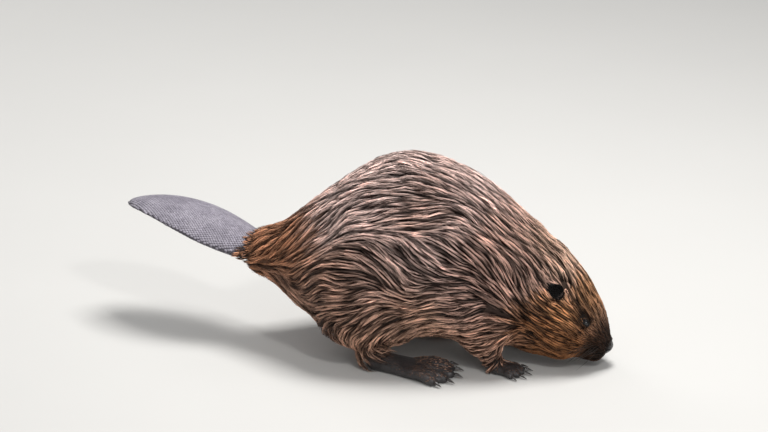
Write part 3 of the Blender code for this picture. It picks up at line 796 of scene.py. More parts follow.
def thinned(mesh, hidden, kept):
    """The mesh with only that share of its faces kept where hidden is 1."""

    def mark_hidden(holder):
        """Weighs the points for the modifier that thins the faces."""
        group = holder.vertex_groups.new(name="hidden")
        for level in np.linspace(1 / HIDDEN_STEPS, 1.0, HIDDEN_STEPS):
            chosen = np.nonzero(np.abs(hidden - level) <= 0.5 / HIDDEN_STEPS)[0]
            group.add(chosen.tolist(), float(level), "REPLACE")

    ratio = 1 - (1 - kept) * hidden.mean()
    return with_modifier(mesh, "DECIMATE", mark_hidden, ratio=ratio, vertex_group="hidden")


def shape_skin(look, eye_look):
    """The flesh fused into one skin with its folds, lids and nose.

    Gives its mesh, its surface before it was set in, the flesh's own and the part of each triangle of that.
    """
    points, triangles, owner = joined_solids(PARTS, look.overlap)
    flesh = Surface(points, triangles)
    mesh = with_modifier(new_mesh("fused", points, triangles), "REMESH", mode="VOXEL", voxel_size=look.voxel)
    points, triangles = read_points(mesh), read_triangles(mesh)
    outline = Surface(points, triangles)
    parts = owner[flesh.nearest(points)[1]]
    points, depth = set_in(points, triangles, Web(read_edges(mesh), len(points)), parts, look)
    write_points(mesh, points)
    mesh = thinned(mesh, np.maximum(ramp(depth, *HIDDEN_DEPTH), of_parts(parts, "tail")), look.kept)

    around_eyes = [(centre_of(eye), radius) for radius in EYE_REFINED for eye in EYES]
    mesh = refined(mesh, [(on_head(*NOSE_MIDDLE), NOSE_REFINED)] + around_eyes)
    points, triangles = read_points(mesh), read_triangles(mesh)
    for side in SIDES:
        points = shape_lids(points, side, eye_look)
    points = shape_nose(points, point_normals(points, triangles))
    points[:, 2] = np.maximum(points[:, 2], 0.0)
    write_points(mesh, points)
    mesh.update()
    return mesh, outline, flesh, owner


def set_leathers(mesh, points, parts, eye_look):
    """Gives each face of the skin the material of the part that it is of."""
    per_point = per_part(LEATHER_OF, parts, 0)
    for side in SIDES:
        outside, _ = eye_measure(points, side, eye_look)
        per_point = np.where(outside < BARE_LID, LID_LEATHER, per_point)
    first = np.empty(len(mesh.polygons), np.int32)
    mesh.polygons.foreach_get("loop_start", first)
    corners = np.empty(len(mesh.loops), np.int32)
    mesh.loops.foreach_get("vertex_index", corners)
    mesh.polygons.foreach_set("material_index", per_point[corners[first]].astype(np.int32))


def build_skin(look, eye_look, hair):
    """The one skin that stands for all the flesh."""
    mesh, outline, flesh, owner = shape_skin(look, eye_look)
    points = read_points(mesh)
    depth = np.linalg.norm(points - outline.nearest(points)[0], axis=1)
    depth = Web(read_edges(mesh), len(points)).relaxed(depth[:, None], *MEASURED_BLEND)[:, 0]
    parts = owner[flesh.nearest(points)[1]]
    layer = mesh.attributes.new(DEPTH, "FLOAT", "POINT")
    layer.data.foreach_set("value", depth.astype(np.float32))
    layer = mesh.attributes.new(PART, "INT", "POINT")
    layer.data.foreach_set("value", parts.astype(np.int32))
    # Painted shade: the skin darkens under the deeper coat, down to the hair's root shade.
    shade = np.interp(depth, SKIN_SHADE_DEPTHS, (BARE_SKIN_SHADE, hair.root_shade))
    set_colours(mesh, hair_colours(points, hair) * shade[:, None])
    mesh.polygons.foreach_set("use_smooth", np.ones(len(mesh.polygons), bool))
    skin = new_piece(SKIN, mesh, "wet_fur", wet_underfur(), *[leather(*row) for row in LEATHERS])
    set_leathers(mesh, points, parts, eye_look)
    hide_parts(*FLESH)
    unwrap(skin)


def unwrap(piece):
    """Lays the piece's own surface out flat, as the map that the coat's tufts share."""
    piece.data.uv_layers.new(name=BAKE_MAP)
    bpy.context.view_layer.objects.active = piece
    piece.select_set(True)
    bpy.ops.object.mode_set(mode="EDIT")
    bpy.ops.mesh.select_all(action="SELECT")
    bpy.ops.uv.smart_project(angle_limit=UNWRAP_ANGLE, island_margin=UNWRAP_MARGIN)
    bpy.ops.object.mode_set(mode="OBJECT")
    piece.select_set(False)


# ---------------------------------------------------------------- colour and lie of the hair


def nearness(points, place, side, reach, falloff):
    """1 at a place on that side of the animal, one half at its reach and less beyond."""
    away = np.linalg.norm(points - mirrored(place, side), axis=1) / reach
    return (1.0 / (1.0 + away**falloff))[:, None]


def hair_colours(points, hair):
    """The colour of the outer hair at each point, blended from the markings of both sides."""
    total = np.zeros((len(points), 3))
    weight = np.full((len(points), 1), 1e-9)
    for name, place, reach in MARKINGS:
        for side in SIDES:
            near = nearness(points, place, side, reach, MARK_FALLOFF)
            total += near * np.array(getattr(hair, name))
            weight += near
    return total / weight


def combed(points):
    """The way the hair lies at each point, blended from the strokes of both sides."""
    total = np.zeros((len(points), 3))
    for _, place, way, reach in LIE_OF_COAT:
        for side in SIDES:
            total += nearness(points, place, side, reach, LIE_FALLOFF) * unit(mirrored(way, side))
    return total


# ---------------------------------------------------------------- the coat

# Kinds of lock, from the finest: ending of the piece's name, the coat's depth from which it grows, strands in
# the lock and stations along a strand.
LOCKS = (("_short", 0.0, 4, 4), ("_middle", 0.0028, 8, 5), ("", 0.0068, 15, 5))
MOST_TRIANGLES = 200_000  # in one piece of the coat

# For each of these depths of the coat: length and width of a lock and distance between ribs, in metres.
DEPTHS = (0.0005, 0.0010, 0.0020, 0.0035, 0.0060, 0.0100)
LENGTHS = (0.0040, 0.0060, 0.0130, 0.0280, 0.0440, 0.0640)
WIDTHS = (0.0015, 0.0018, 0.0026, 0.0070, 0.0105, 0.0125)
PITCHES = (0.0020, 0.0022, 0.0027, 0.0034, 0.0042, 0.0050)

# Along a lock, from root to tip: the height of its middle as a share of the coat's depth, and the width of
# its strands as a share of their widest.
ALONG_LOCK = (0.0, 0.3, 0.7, 1.0)
LOCK_RISE = (-0.12, 0.46, 0.80, 0.90)
STRAND_TAPER = (0.55, 1.0, 0.8, 0.0)
STRAND_THICKNESS = 0.6  # beside its width
ROOT_SUNK = 0.0002  # how deep the roots are let into the skin

# Values of the rib pattern between which the shaded hollow between ribs turns into a lit rib, and gaps of
# painted shade into plain hair.
RIB_EDGES = (-0.60, 0.50)
GAP_EDGES = (-0.78, -0.02)
GAP_DEPTHS = (0.0008, 0.0045)  # depths of coat over which the gaps come in

# Seeds of the patterns that roll through space.
WAVE_SEED = 11
PATCH_SEED = 5
RIB_SEED = 21
GAP_SEED = 22
PATCH_WAVELENGTH = 0.03
WAVE_SPREAD = (0.7, 1.4)  # how many waves there are to a wavelength

# Chance in the coat. Those with two numbers are evenly spread between them.
LENGTH_SPREAD = (0.8, 1.2)  # of a lock's length
STRAND_SPREAD = (0.2, 0.8)  # of a strand's place within its share of the lock
FRAY = 0.07  # sideways, at the tips, beside half the lock's width
RISE_SPREAD = 0.05  # upwards, beside the coat's depth
AHEAD_SPREAD = 0.10  # along the lock, beside its length
WIDTH_SPREAD = (1.0, 1.3)  # of a strand's width
ROLL_SPREAD = 0.3  # turn of a strand about itself, in radians
TONE_SPREAD = 0.12  # of a strand's brightness
RIB_WAVE = 0.85  # the ribs' height follows this share of a half wave along the lock
GATHER_POWER = 1.5  # how late along the lock its strands draw together

# Shares of the way along a lock over which the roots brighten out of their dark, which is partly the hair's
# darker base and partly painted shade deep in the coat, and the tips grow pale, and how pale they grow.
ROOT_END = (0.05, 0.45)
TIP_START = (0.6, 1.0)
TIP_GAIN = 0.15

# The rib pattern: a packet's length and width beside its size, and the numbers that scatter the packets.
PACKET_LENGTH = 0.9
PACKET_WIDTH = 0.5
CELL_DRAWS = 4096
CELL_FACTORS = (73856093, 19349663, 83492791)

# What the coat's locks stop short of, and how far over its edge they may reach.
OBSTACLES = (("ear", 0.0015), ("eye", 0.001))
AHEAD_COSINE = 0.5  # an obstacle is in the way of a lock when it lies this nearly ahead
FLOOR_GAP = 0.002  # the lowest that the middle of a strand may hang
TAIL_FRINGE = 0.016  # how far the hair reaches over the tail's first scales
SOLE_HEIGHT = 0.009  # no hair grows on the feet below this
SOLE_FACING = 0.3  # or where they face less upwards than this

# The lower front rim of an ear, where the hair is paler and a highlight is painted: the way to it (forwards,
# up), and where along that way it begins and ends.
EAR_RIM_WAY = (0.75, -0.65)
EAR_RIM = (0.45, 0.85)

# The pieces of the coat, and the planes that part them.
ZONES = (
    "coat_fore_right",
    "coat_fore_left",
    "coat_hind_right",
    "coat_hind_left",
    "coat_fore_back",
    "coat_hind_back",
    "coat_neck",
    "coat_tail_root",
    "coat_forelegs",
    "coat_thigh_right",
    "coat_thigh_left",
    "coat_muzzle",
    "coat_head",
    "coat_ears",
)
FORE_FROM = 0.14  # the forebody's sides begin here
FORE_BACK_TO = 0.10  # the top of the back is parted here
BACK_HALF_WIDTH = 0.05
MUZZLE_LENGTH = 0.085


def ripple(points, wavelength, seed, waves=6, usual_sum=2.4):
    """A smooth random value near -1 to 1 that rolls over that wavelength, from a sum of waves."""
    rng = np.random.default_rng(seed)
    total = np.zeros(len(points))
    for _ in range(waves):
        heading = unit(rng.normal(size=3)) * (2 * math.pi / wavelength) * rng.uniform(*WAVE_SPREAD)
        total += np.sin(points @ heading + rng.uniform(0, 2 * math.pi))
    return total / usual_sum


def ribs(points, ways, across, pitch, packet, seed):
    """1 on the ribs that wet hair gathers in, -1 in the grooves between them. The ribs run along the ways.

    Wave packets of that size, each with a phase of its own, are scattered through space and summed. The phase
    of the sum gives even ribs that fork and end where the packets disagree.
    """
    x, y, z = CELL_FACTORS
    table = np.random.default_rng(seed).uniform(size=(CELL_DRAWS, 4))  # places and phases
    base = np.floor(points / packet).astype(np.int64)
    total = np.zeros(points.shape[:-1], complex)
    for corner in np.ndindex(3, 3, 3):
        cell = base + corner - 1
        slot = (cell[..., 0] * x ^ cell[..., 1] * y ^ cell[..., 2] * z) % CELL_DRAWS
        away = points - (cell + table[slot, :3]) * packet
        along = dot(away, ways)
        beside = np.maximum(dot(away, away) - along**2, 0.0)
        weight = np.exp(-((along / (PACKET_LENGTH * packet)) ** 2) - beside / (PACKET_WIDTH * packet) ** 2)
        total += weight * np.exp(2j * math.pi * (dot(away, across) / pitch + table[slot, 3]))
    return total.real / np.maximum(np.abs(total), 1e-9)


def turned(directions, normals, angles):
    """Directions in a surface turned about its normals."""
    sideways = np.cross(normals, directions)
    return directions * np.cos(angles)[:, None] + sideways * np.sin(angles)[:, None]


def trace(surface, roots, chosen, lengths, bends, hair):
    """Lays locks along the lie of the coat. Gives the points, normals and ways at each station along them."""
    points = roots
    spots, facings, ways = [], [], []
    for step, bend in enumerate(bends.T):
        if step:
            stepped = points + ways[-1] * (lengths / (bends.shape[1] - 1))[:, None]
            points, chosen = surface.nearest(stepped)
        normals = surface.smooth_normals(points, chosen)
        way = combed(points)
        way = unit(way - normals * dot(way, normals)[:, None])
        wave = ripple(points, hair.wave_length, WAVE_SEED) * hair.wave_angle
        spots.append(points)
        facings.append(normals)
        ways.append(turned(way, normals, wave + bend))
    return np.stack(spots, 1), np.stack(facings, 1), np.stack(ways, 1)


def clear_lengths(roots, lengths):
    """Lengths cut so that no lock lies over an eye or an ear, or far over the scales of the tail."""
    way = unit(combed(roots))
    for name, clearance in OBSTACLES:
        for side in SIDES:
            obstacle = f"{name}_{side}"
            low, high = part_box(obstacle)
            away = centre_of(obstacle) - roots
            far = np.linalg.norm(away, axis=1)
            radius = (high.z - low.z) / 2
            ahead = dot(way, away) > AHEAD_COSINE * far
            lengths = np.where(ahead, np.minimum(lengths, far - radius + clearance), lengths)
    over_tail = np.maximum(roots[:, 0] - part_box("tail")[1].x, 0.0) + TAIL_FRINGE
    return np.maximum(np.minimum(lengths, over_tail), LENGTHS[0])


def morton_order(points, cell=0.001, bits=10):
    """An order that keeps neighbouring points together."""
    grid = ((points - points.min(axis=0)) / cell).astype(np.int64)
    code = np.zeros(len(points), np.int64)
    for bit in range(bits):
        for axis in range(3):
            code |= ((grid[:, axis] >> bit) & 1) << (3 * bit + axis)
    return np.argsort(code, kind="stable")


def scatter(rng, surface, per_area):
    """Roots spread evenly over the surface: (their triangles, their shares of the corners)."""
    corners = surface.points[surface.triangles]
    area = np.linalg.norm(np.cross(corners[:, 1] - corners[:, 0], corners[:, 2] - corners[:, 0]), axis=1) / 2
    wanted = area * per_area[surface.triangles].mean(axis=1)
    order = morton_order(corners.mean(axis=1))
    running = np.cumsum(wanted[order])
    spots = np.arange(int(running[-1])) + rng.uniform(0, 1, int(running[-1]))
    chosen = order[np.searchsorted(running, spots).clip(max=len(order) - 1)]
    u, v = np.sqrt(rng.uniform(size=len(chosen))), rng.uniform(size=len(chosen))
    return chosen, np.stack([1 - u, u * (1 - v), u * v], axis=1)


def strand_faces(stations):
    """Triangles of one strand: rings of three points that end in a tip."""
    faces = [(0, 2, 1)]
    for ring in range(stations - 2):
        base = ring * 3
        for k in range(3):
            a, b = base + k, base + (k + 1) % 3
            faces += [(a, b, b + 3), (a, b + 3, a + 3)]
    base, tip = (stations - 2) * 3, (stations - 1) * 3
    return np.array(faces + [(base + k, base + (k + 1) % 3, tip) for k in range(3)], np.int32)


def strand_points(spots, facings, ways, width, thickness, roll):
    """Points of many strands at once, from the middle line of each."""
    stations = spots.shape[1]
    across = np.cross(facings, ways)
    turn = roll[:, None, None]
    wide = across * np.cos(turn) + facings * np.sin(turn)
    tall = facings * np.cos(turn) - across * np.sin(turn)
    taper = np.interp(np.linspace(0, 1, stations), ALONG_LOCK, STRAND_TAPER)
    half = (width[:, None] * taper)[:, :, None] / 2
    rise = half * thickness
    foot = spots - tall * rise
    ring = np.stack([foot - wide * half, foot + wide * half, spots + tall * rise], 2)
    body = ring[:, :-1].reshape(len(spots), -1, 3)
    return np.concatenate([body, spots[:, -1:]], axis=1)


class Coat:
    """Locks collected for the coat's pieces."""

    def __init__(self, skin, hair):
        mesh = skin.data
        self.hair = hair
        self.surface = Surface(read_points(mesh), read_triangles(mesh))
        corners = read_triangles(mesh, "loops")
        flat = np.empty(len(mesh.loops) * 2, np.float32)
        mesh.uv_layers[BAKE_MAP].data.foreach_get("uv", flat)
        self.flat = flat.reshape(-1, 2)[corners]
        depth = np.empty(len(mesh.vertices), np.float32)
        mesh.attributes[DEPTH].data.foreach_get("value", depth)
        self.depth = depth.astype(float)
        self.part = np.empty(len(mesh.vertices), np.int32)
        mesh.attributes[PART].data.foreach_get("value", self.part)

    def coloured(self, roots, part):
        """The colour of the hair at each root, with the ears dark and paler towards their lower front rim,
        where paler hair and a painted highlight are given.
        """
        light = hair_colours(roots, self.hair)
        for side in SIDES:
            ear = f"ear_{side}"
            on_ear = of_parts(part, ear)
            low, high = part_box(ear)
            place = (roots[on_ear][:, [0, 2]] - centre_of(ear)[[0, 2]]) / ((high.z - low.z) / 2)
            # The rim colour: paler hair with a painted highlight in it.
            rim = ramp(place @ EAR_RIM_WAY, *EAR_RIM)[:, None]
            light[on_ear] = np.array(self.hair.ear) * (1 - rim) + np.array(self.hair.ear_rim_hair_and_highlight) * rim
        return light

    def grow(self, rng, per_area, strands, stations):
        """Grows locks of several strands over the skin: (points, colours, map places, roots, parts)."""
        surface = self.surface
        chosen, shares = scatter(rng, surface, per_area)
        corners = surface.triangles[chosen]
        roots = blend_corners(surface.points[corners], shares)
        depth = blend_corners(self.depth[corners], shares)
        flat = blend_corners(self.flat[chosen], shares)
        part = self.part[corners[:, 0]]

        count = len(roots)
        lengths = clear_lengths(roots, np.interp(depth, DEPTHS, LENGTHS) * rng.uniform(*LENGTH_SPREAD, count))
        s = np.linspace(0.0, 1.0, stations)
        sway = rng.normal(0.0, self.hair.stray_angle, count)[:, None]
        curl = rng.normal(0.0, self.hair.curl_angle, count)[:, None]
        bends = sway + curl * np.sin(2 * math.pi * s + rng.uniform(0, 2 * math.pi, count)[:, None])
        laid = trace(surface, roots, chosen, lengths, bends, self.hair)

        lock = np.repeat(np.arange(count), strands)
        spots, facings, ways = [each[lock] for each in laid]
        depth = depth[lock]
        points, rib, gap_shading = self.split(rng, (spots, facings, ways), depth, lengths[lock], strands)
        colours = self.strand_colours(rng, roots, part, lock, depth, rib, gap_shading)
        return points, colours, flat[lock], roots[lock], part[lock]

    def split(self, rng, laid, depth, lengths, strands):
        """Splits laid locks into strands: (their points, ribs and gaps of painted shade along them, both from
        0 to 1).
        """
        hair = self.hair
        spots, facings, ways = laid
        total, stations = spots.shape[:2]
        s = np.linspace(0.0, 1.0, stations)
        place = np.tile(np.arange(strands), total // strands)
        aside = 2 * (place + rng.uniform(*STRAND_SPREAD, total)) / strands - 1
        half_width = np.interp(depth, DEPTHS, WIDTHS) / 2
        across = np.cross(facings, ways)
        gather = 1 - hair.gather * s[None, :] ** GATHER_POWER
        fray = rng.normal(0, FRAY, total)[:, None] * s[None, :] ** 2
        sideways = (aside[:, None] * gather + fray) * half_width[:, None]
        paths = spots + across * sideways[:, :, None]
        pitch = (np.interp(depth, DEPTHS, PITCHES) * hair.rib_pitch)[:, None]
        rib = ramp(ribs(paths, ways, across, pitch, hair.rib_packet, RIB_SEED), *RIB_EDGES)
        # The gaps are painted shade: they darken the hair's colour and do not part the locks.
        gap_shading = 1 - ramp(ribs(paths, ways, across, hair.wedge_pitch, hair.wedge_packet, GAP_SEED), *GAP_EDGES)

        rise = np.interp(s, ALONG_LOCK, LOCK_RISE)[None, :]
        crowned = hair.crown * (1 - aside**2) + rng.normal(0.0, RISE_SPREAD, total)
        raised = crowned[:, None] + hair.rib_height * rib
        height = depth[:, None] * (rise + raised * np.sin(np.pi * RIB_WAVE * s)) - ROOT_SUNK
        ahead = rng.uniform(-1, 1, total) * AHEAD_SPREAD * lengths
        lines = paths + facings * height[:, :, None] + ways * ahead[:, None, None]
        lines[:, :, 2] = np.maximum(lines[:, :, 2], FLOOR_GAP)
        width = 2 * half_width / strands * rng.uniform(*WIDTH_SPREAD, total)
        roll = rng.normal(0, ROLL_SPREAD, total)
        return strand_points(lines, facings, ways, width, STRAND_THICKNESS, roll), rib, gap_shading

    def strand_colours(self, rng, roots, part, lock, depth, rib, gap_shading):
        """Colours of the strands' points: dark roots, pale tips, hollows between ribs darkened as painted
        shade beside the lit ribs, and dark gaps of painted shade.
        """
        hair = self.hair
        s = np.linspace(0.0, 1.0, rib.shape[1])
        light = self.coloured(roots, part)
        shade = rng.lognormal(0.0, hair.patchiness, len(roots))
        shade = shade * (1 + hair.patchiness * ripple(roots, PATCH_WAVELENGTH, PATCH_SEED))
        bright = (shade[lock] * rng.lognormal(0.0, TONE_SPREAD, len(lock)))[:, None]
        # Roots darkened, partly as the hair's darker base and partly as painted shade deep in the coat; tips
        # paler.
        along = hair.root_shade + (1 - hair.root_shade) * ramp(s, *ROOT_END) + TIP_GAIN * ramp(s, *TIP_START)
        # Painted shade in the gaps between wedges, where the coat is deep enough.
        bright = bright * along * (1 - hair.gap_shade * gap_shading * ramp(depth, *GAP_DEPTHS)[:, None])
        # Painted light and shade: the ribs keep the full, lit colour and the hollows between them are
        # darkened.
        tone = np.array(hair.groove_shade) + (1 - np.array(hair.groove_shade)) * rib[:, :, None]
        colour = light[lock][:, None, :] * tone * bright[:, :, None]
        return np.concatenate([np.repeat(colour[:, :-1], 3, axis=1), colour[:, -1:]], axis=1)

    def piece(self, name, grown, chosen, stations, material):
        """Makes one piece of the coat from the chosen strands."""
        points, colours, flat = [values[chosen] for values in grown[:3]]
        each = points.shape[1]
        faces = repeated(strand_faces(stations), each, len(points))
        if len(faces) >= MOST_TRIANGLES:
            raise RuntimeError(f"{name} has {len(faces)} triangles: split it or thin the coat")
        mesh = new_mesh(name, points.reshape(-1, 3), faces)
        set_colours(mesh, colours.reshape(-1, 3))
        along = np.repeat(np.linspace(0, 1, stations), 3)[: each - 1]
        place = np.stack([np.tile([0.0, 1.0, 0.5], stations - 1), along], axis=1)
        place = np.concatenate([place, [[0.5, 1.0]]]) * TUFT_PATCH
        spots = flat[:, None, :] + place[None, :, :]
        layer = mesh.uv_layers.new(name=BAKE_MAP)
        layer.data.foreach_set("uv", spots.reshape(-1, 2)[faces.ravel()].astype(np.float32).ravel())
        new_piece(name, mesh, "wet_fur", material)


def zones(roots, parts):
    """The piece of the coat that each root belongs to, as a number into ZONES."""
    forward, out, _ = roots.T
    on_back = of_parts(parts, "trunk") & (np.abs(out) < BACK_HALF_WIDTH)
    on_muzzle = (roots - NOSE_TIP) @ HEAD_BACK < MUZZLE_LENGTH
    zone = np.where(forward > FORE_FROM, 0, 2) + (out > 0)
    for which, number in (
        (on_back, np.where(forward < FORE_BACK_TO, 5, 4)),
        (of_parts(parts, "neck"), 6),
        (of_parts(parts, "tail_root", "tail"), 7),
        (of_parts(parts, "foreleg", "forefoot"), 8),
        (of_parts(parts, "hind_leg_right", "hind_foot_right"), 9),
        (of_parts(parts, "hind_leg_left", "hind_foot_left"), 10),
        (of_parts(parts, "head", "nose", "eye"), np.where(on_muzzle, 11, 12)),
        (of_parts(parts, "ear"), 13),
    ):
        zone = np.where(which, number, zone)
    return zone


def build_coat(hair, eye_look):
    """Lays the whole coat over the skin, long on the body and fine on the face, ears and feet."""
    coat = Coat(bpy.data.objects[SKIN], hair)
    depth, points = coat.depth, coat.surface.points
    bare = of_parts(coat.part, "nose", "tail")
    for side in SIDES:
        bare |= eye_measure(points, side, eye_look)[0] < HAIRLESS_LID
    feet = of_parts(coat.part, "forefoot", "hind_foot")
    bare |= feet & ((coat.surface.normals[:, 2] < SOLE_FACING) | (points[:, 2] < SOLE_HEIGHT))

    material = wet_hair(hair)
    rng = np.random.default_rng(hair.seed)
    covered = np.interp(depth, DEPTHS, WIDTHS) * np.interp(depth, DEPTHS, LENGTHS) / 2
    least = np.where(feet, hair.foot_spacing, hair.least_spacing)
    spacing = np.maximum(np.sqrt(covered / hair.layers), least)
    starts = [kind[1] for kind in LOCKS] + [np.inf]
    for (ending, start, strands, stations), stop in zip(LOCKS, starts[1:]):
        grows = (depth >= start) & (depth < stop) & ~bare
        grown = coat.grow(rng, np.where(grows, 1.0 / spacing**2, 0.0), strands, stations)
        zone = zones(grown[3], grown[4])
        for number, name in enumerate(ZONES):
            chosen = np.nonzero(zone == number)[0]
            if len(chosen):
                coat.piece(name + ending, grown, chosen, stations, material)


# ---------------------------------------------------------------- eyes, claws, tail scales, whiskers

BALL_RINGS = 20
BALL_AROUND = 32
BULGE = 0.05  # how far the clear front of an eyeball stands out, as a share of its radius
BULGE_ENDS = 0.75  # angles from the gaze, in radians
IRIS_EDGE = (0.30, 0.36)
WHITE_EDGE = (0.72, 0.80)
PUPIL_TONE = 0.002


def ball_faces():
    """Triangles of a ball of rings, whose last two points are its front and its rear."""
    faces = []
    for ring in range(BALL_RINGS - 2):
        for k in range(BALL_AROUND):
            a, b = ring * BALL_AROUND + k, ring * BALL_AROUND + (k + 1) % BALL_AROUND
            faces += [(a, a + BALL_AROUND, b + BALL_AROUND), (a, b + BALL_AROUND, b)]
    last = (BALL_RINGS - 2) * BALL_AROUND
    front, rear = last + BALL_AROUND, last + BALL_AROUND + 1
    for k in range(BALL_AROUND):
        following = (k + 1) % BALL_AROUND
        faces += [(front, k, following), (rear, last + following, last + k)]
    return np.array(faces, np.int32)


def build_eyes(look):
    """Eyeballs with a clear bulge at the front, a dark iris and a pupil."""
    material = eye_gloss()
    angle = np.linspace(0, math.pi, BALL_RINGS + 1)[1:-1]
    turn = np.linspace(0, 2 * math.pi, BALL_AROUND, endpoint=False)[None, :, None]
    bulge = 1 + BULGE * (1 - ramp(angle, 0.0, BULGE_ENDS))
    tilt = np.concatenate([np.repeat(angle, BALL_AROUND), [0.0, math.pi]])
    iris = ramp(tilt, *IRIS_EDGE)[:, None] * np.array(look.iris)
    white = ramp(tilt, *WHITE_EDGE)[:, None] * np.array(look.white)
    faces = ball_faces()
    for side in SIDES:
        gaze, forwards, up = eye_axes(side)
        centre, radius = eyeball(side, look)
        out = np.cos(angle)[:, None, None] * gaze
        over = np.sin(angle)[:, None, None] * (np.cos(turn) * forwards + np.sin(turn) * up)
        grid = (out + over) * (radius * bulge)[:, None, None]
        points = np.concatenate([grid.reshape(-1, 3), [gaze * radius * (1 + BULGE)], [-gaze * radius]])
        outwards = faces[:, ::-1] if SIDES[side] < 0 else faces
        mesh = new_mesh(f"eyeball_{side}", points + centre, outwards)
        set_colours(mesh, PUPIL_TONE + iris + white)
        ball = new_piece(f"eyeball_{side}", mesh, "eye_gloss", material)
        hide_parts(f"eye_{side}")


CLAW_WELD = 0.00002  # points nearer than this are made one


def finish_claws(look):
    """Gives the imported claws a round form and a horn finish."""
    material = claw_horn(look.claw)
    for name in CLAWS:
        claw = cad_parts[name]
        weld = claw.modifiers.new("weld", "WELD")
        weld.merge_threshold = CLAW_WELD
        smooth = claw.modifiers.new("round", "SUBSURF")
        smooth.levels = smooth.render_levels = 1
        claw.data.materials.clear()
        claw.data.materials.append(material)


def tail_axes():
    """(middle, along to the tip, across, up) of the tail, from the spread of its own points."""
    points, _ = solid_mesh("tail")
    middle = points.mean(axis=0)
    _, _, axes = np.linalg.svd(points - middle, full_matrices=False)
    along = axes[0] * -np.sign(axes[0][0])
    up = axes[2] * np.sign(axes[2][2])
    return middle, along, np.cross(up, along), up


def skin_surface():
    """The skin as a surface to set things on."""
    skin = bpy.data.objects[SKIN].data
    return Surface(read_points(skin), read_triangles(skin))


SCALE_SEED = 4
SCALE_CORNERS = 6
SCALE_JITTER = 0.00012  # how far a scale strays from its place
SCALE_OVERLAP = 0.56  # half a scale's length and width, as a share of the distance between scales
SCALE_TOP = 0.80  # size of its top beside its foot
SCALE_SHOULDER = 0.72  # height of its top's rim beside its middle
SCALE_SUNK = 0.0005  # how deep its foot is let into the skin
# The foot of each scale is darkened as painted shade in the crevices between the scales; the middle is a
# little lighter than the rim.
SCALE_SHADING = (0.35, 0.95, 1.05)  # brightness of its foot, rim and middle
ROOT_SWEEP = 0.010  # how much farther the fur reaches along the tail's edges than along its middle
SCALE_SIZES = (0.90, 1.04)
SCALE_TONE_SPREAD = 0.10
SCALE_CAST = 0.05  # height over the tail's middle from which a place is sought on the skin
EDGE_FACING = 0.35  # scales stop where the skin faces less up or down than this


def scale_places(surface, look, rng):
    """Staggered rows of scales over both faces of the tail: (places, normals, ways to the tip)."""
    middle, along, across, up = tail_axes()
    spread = (solid_mesh("tail")[0] - middle) @ np.stack([along, across], axis=1)
    (start, left), (end, right) = spread.min(axis=0), spread.max(axis=0)
    places, triangles = [], []
    for face in (1.0, -1.0):
        for row in range(int((end - start) / (look.pitch_along * 0.5))):
            x = start + row * look.pitch_along * 0.5
            for column in range(int((right - left) / look.pitch_across) + 2):
                y = left + (column + 0.5 * (row % 2)) * look.pitch_across
                if x < start + look.bare_root + ROOT_SWEEP * (2 * abs(y) / (right - left)):
                    continue
                forward, aside = x + rng.normal(0, SCALE_JITTER), y + rng.normal(0, SCALE_JITTER)
                above = Vector(middle + along * forward + across * aside + up * face * SCALE_CAST)
                hit, _, triangle, _ = surface.tree.ray_cast(above, Vector(-up * face), 2 * SCALE_CAST)
                if hit is not None:
                    places.append(hit)
                    triangles.append(triangle)
    places = np.array(places)
    facing = surface.smooth_normals(places, np.array(triangles))
    on_face = np.abs(facing @ up) > EDGE_FACING
    places, facing = places[on_face], facing[on_face]
    return places, facing, unit(along - facing * (facing @ along)[:, None])


def build_tail_scales(look):
    """Horny scales over both faces of the tail, each a low six-sided pillow that leans towards the tip."""
    rng = np.random.default_rng(SCALE_SEED)
    places, facing, forward = scale_places(skin_surface(), look, rng)
    count = len(places)
    turn = np.linspace(0, 2 * math.pi, SCALE_CORNERS, endpoint=False) + math.pi / SCALE_CORNERS
    grown = rng.uniform(*SCALE_SIZES, count)[:, None, None]
    long, wide = look.pitch_along * SCALE_OVERLAP, look.pitch_across * SCALE_OVERLAP
    ring_along = (np.cos(turn) * long)[None, :, None]
    ring_across = (np.sin(turn) * wide)[None, :, None]
    places, facing, forward = places[:, None], facing[:, None], forward[:, None]
    ring = (forward * ring_along + np.cross(facing, forward) * ring_across) * grown
    lean = (ring_along / long) * look.lean
    foot = places + ring - facing * SCALE_SUNK
    rim = places + ring * SCALE_TOP + facing * (look.height * SCALE_SHOULDER + lean)
    peak = places + facing * look.height
    points = np.concatenate([foot, rim, peak], axis=1)
    faces = [(0, k + 1, k) for k in range(1, SCALE_CORNERS - 1)]
    middle = 2 * SCALE_CORNERS
    for k in range(SCALE_CORNERS):
        following = (k + 1) % SCALE_CORNERS
        a, b = SCALE_CORNERS + k, SCALE_CORNERS + following
        faces += [(k, following, b), (k, b, a), (a, b, middle)]
    faces = repeated(np.array(faces, np.int32), middle + 1, count)
    mesh = new_mesh("tail_scales", points.reshape(-1, 3), faces)
    # Painted shade at the foot of each scale.
    scale_shading = np.repeat(SCALE_SHADING, (SCALE_CORNERS, SCALE_CORNERS, 1))
    tone = rng.lognormal(0.0, SCALE_TONE_SPREAD, count)[:, None] * scale_shading
    set_colours(mesh, np.repeat(tone.reshape(-1, 1), 3, axis=1))
    new_piece("tail_scales", mesh, "tail_scales", tail_scale(look))


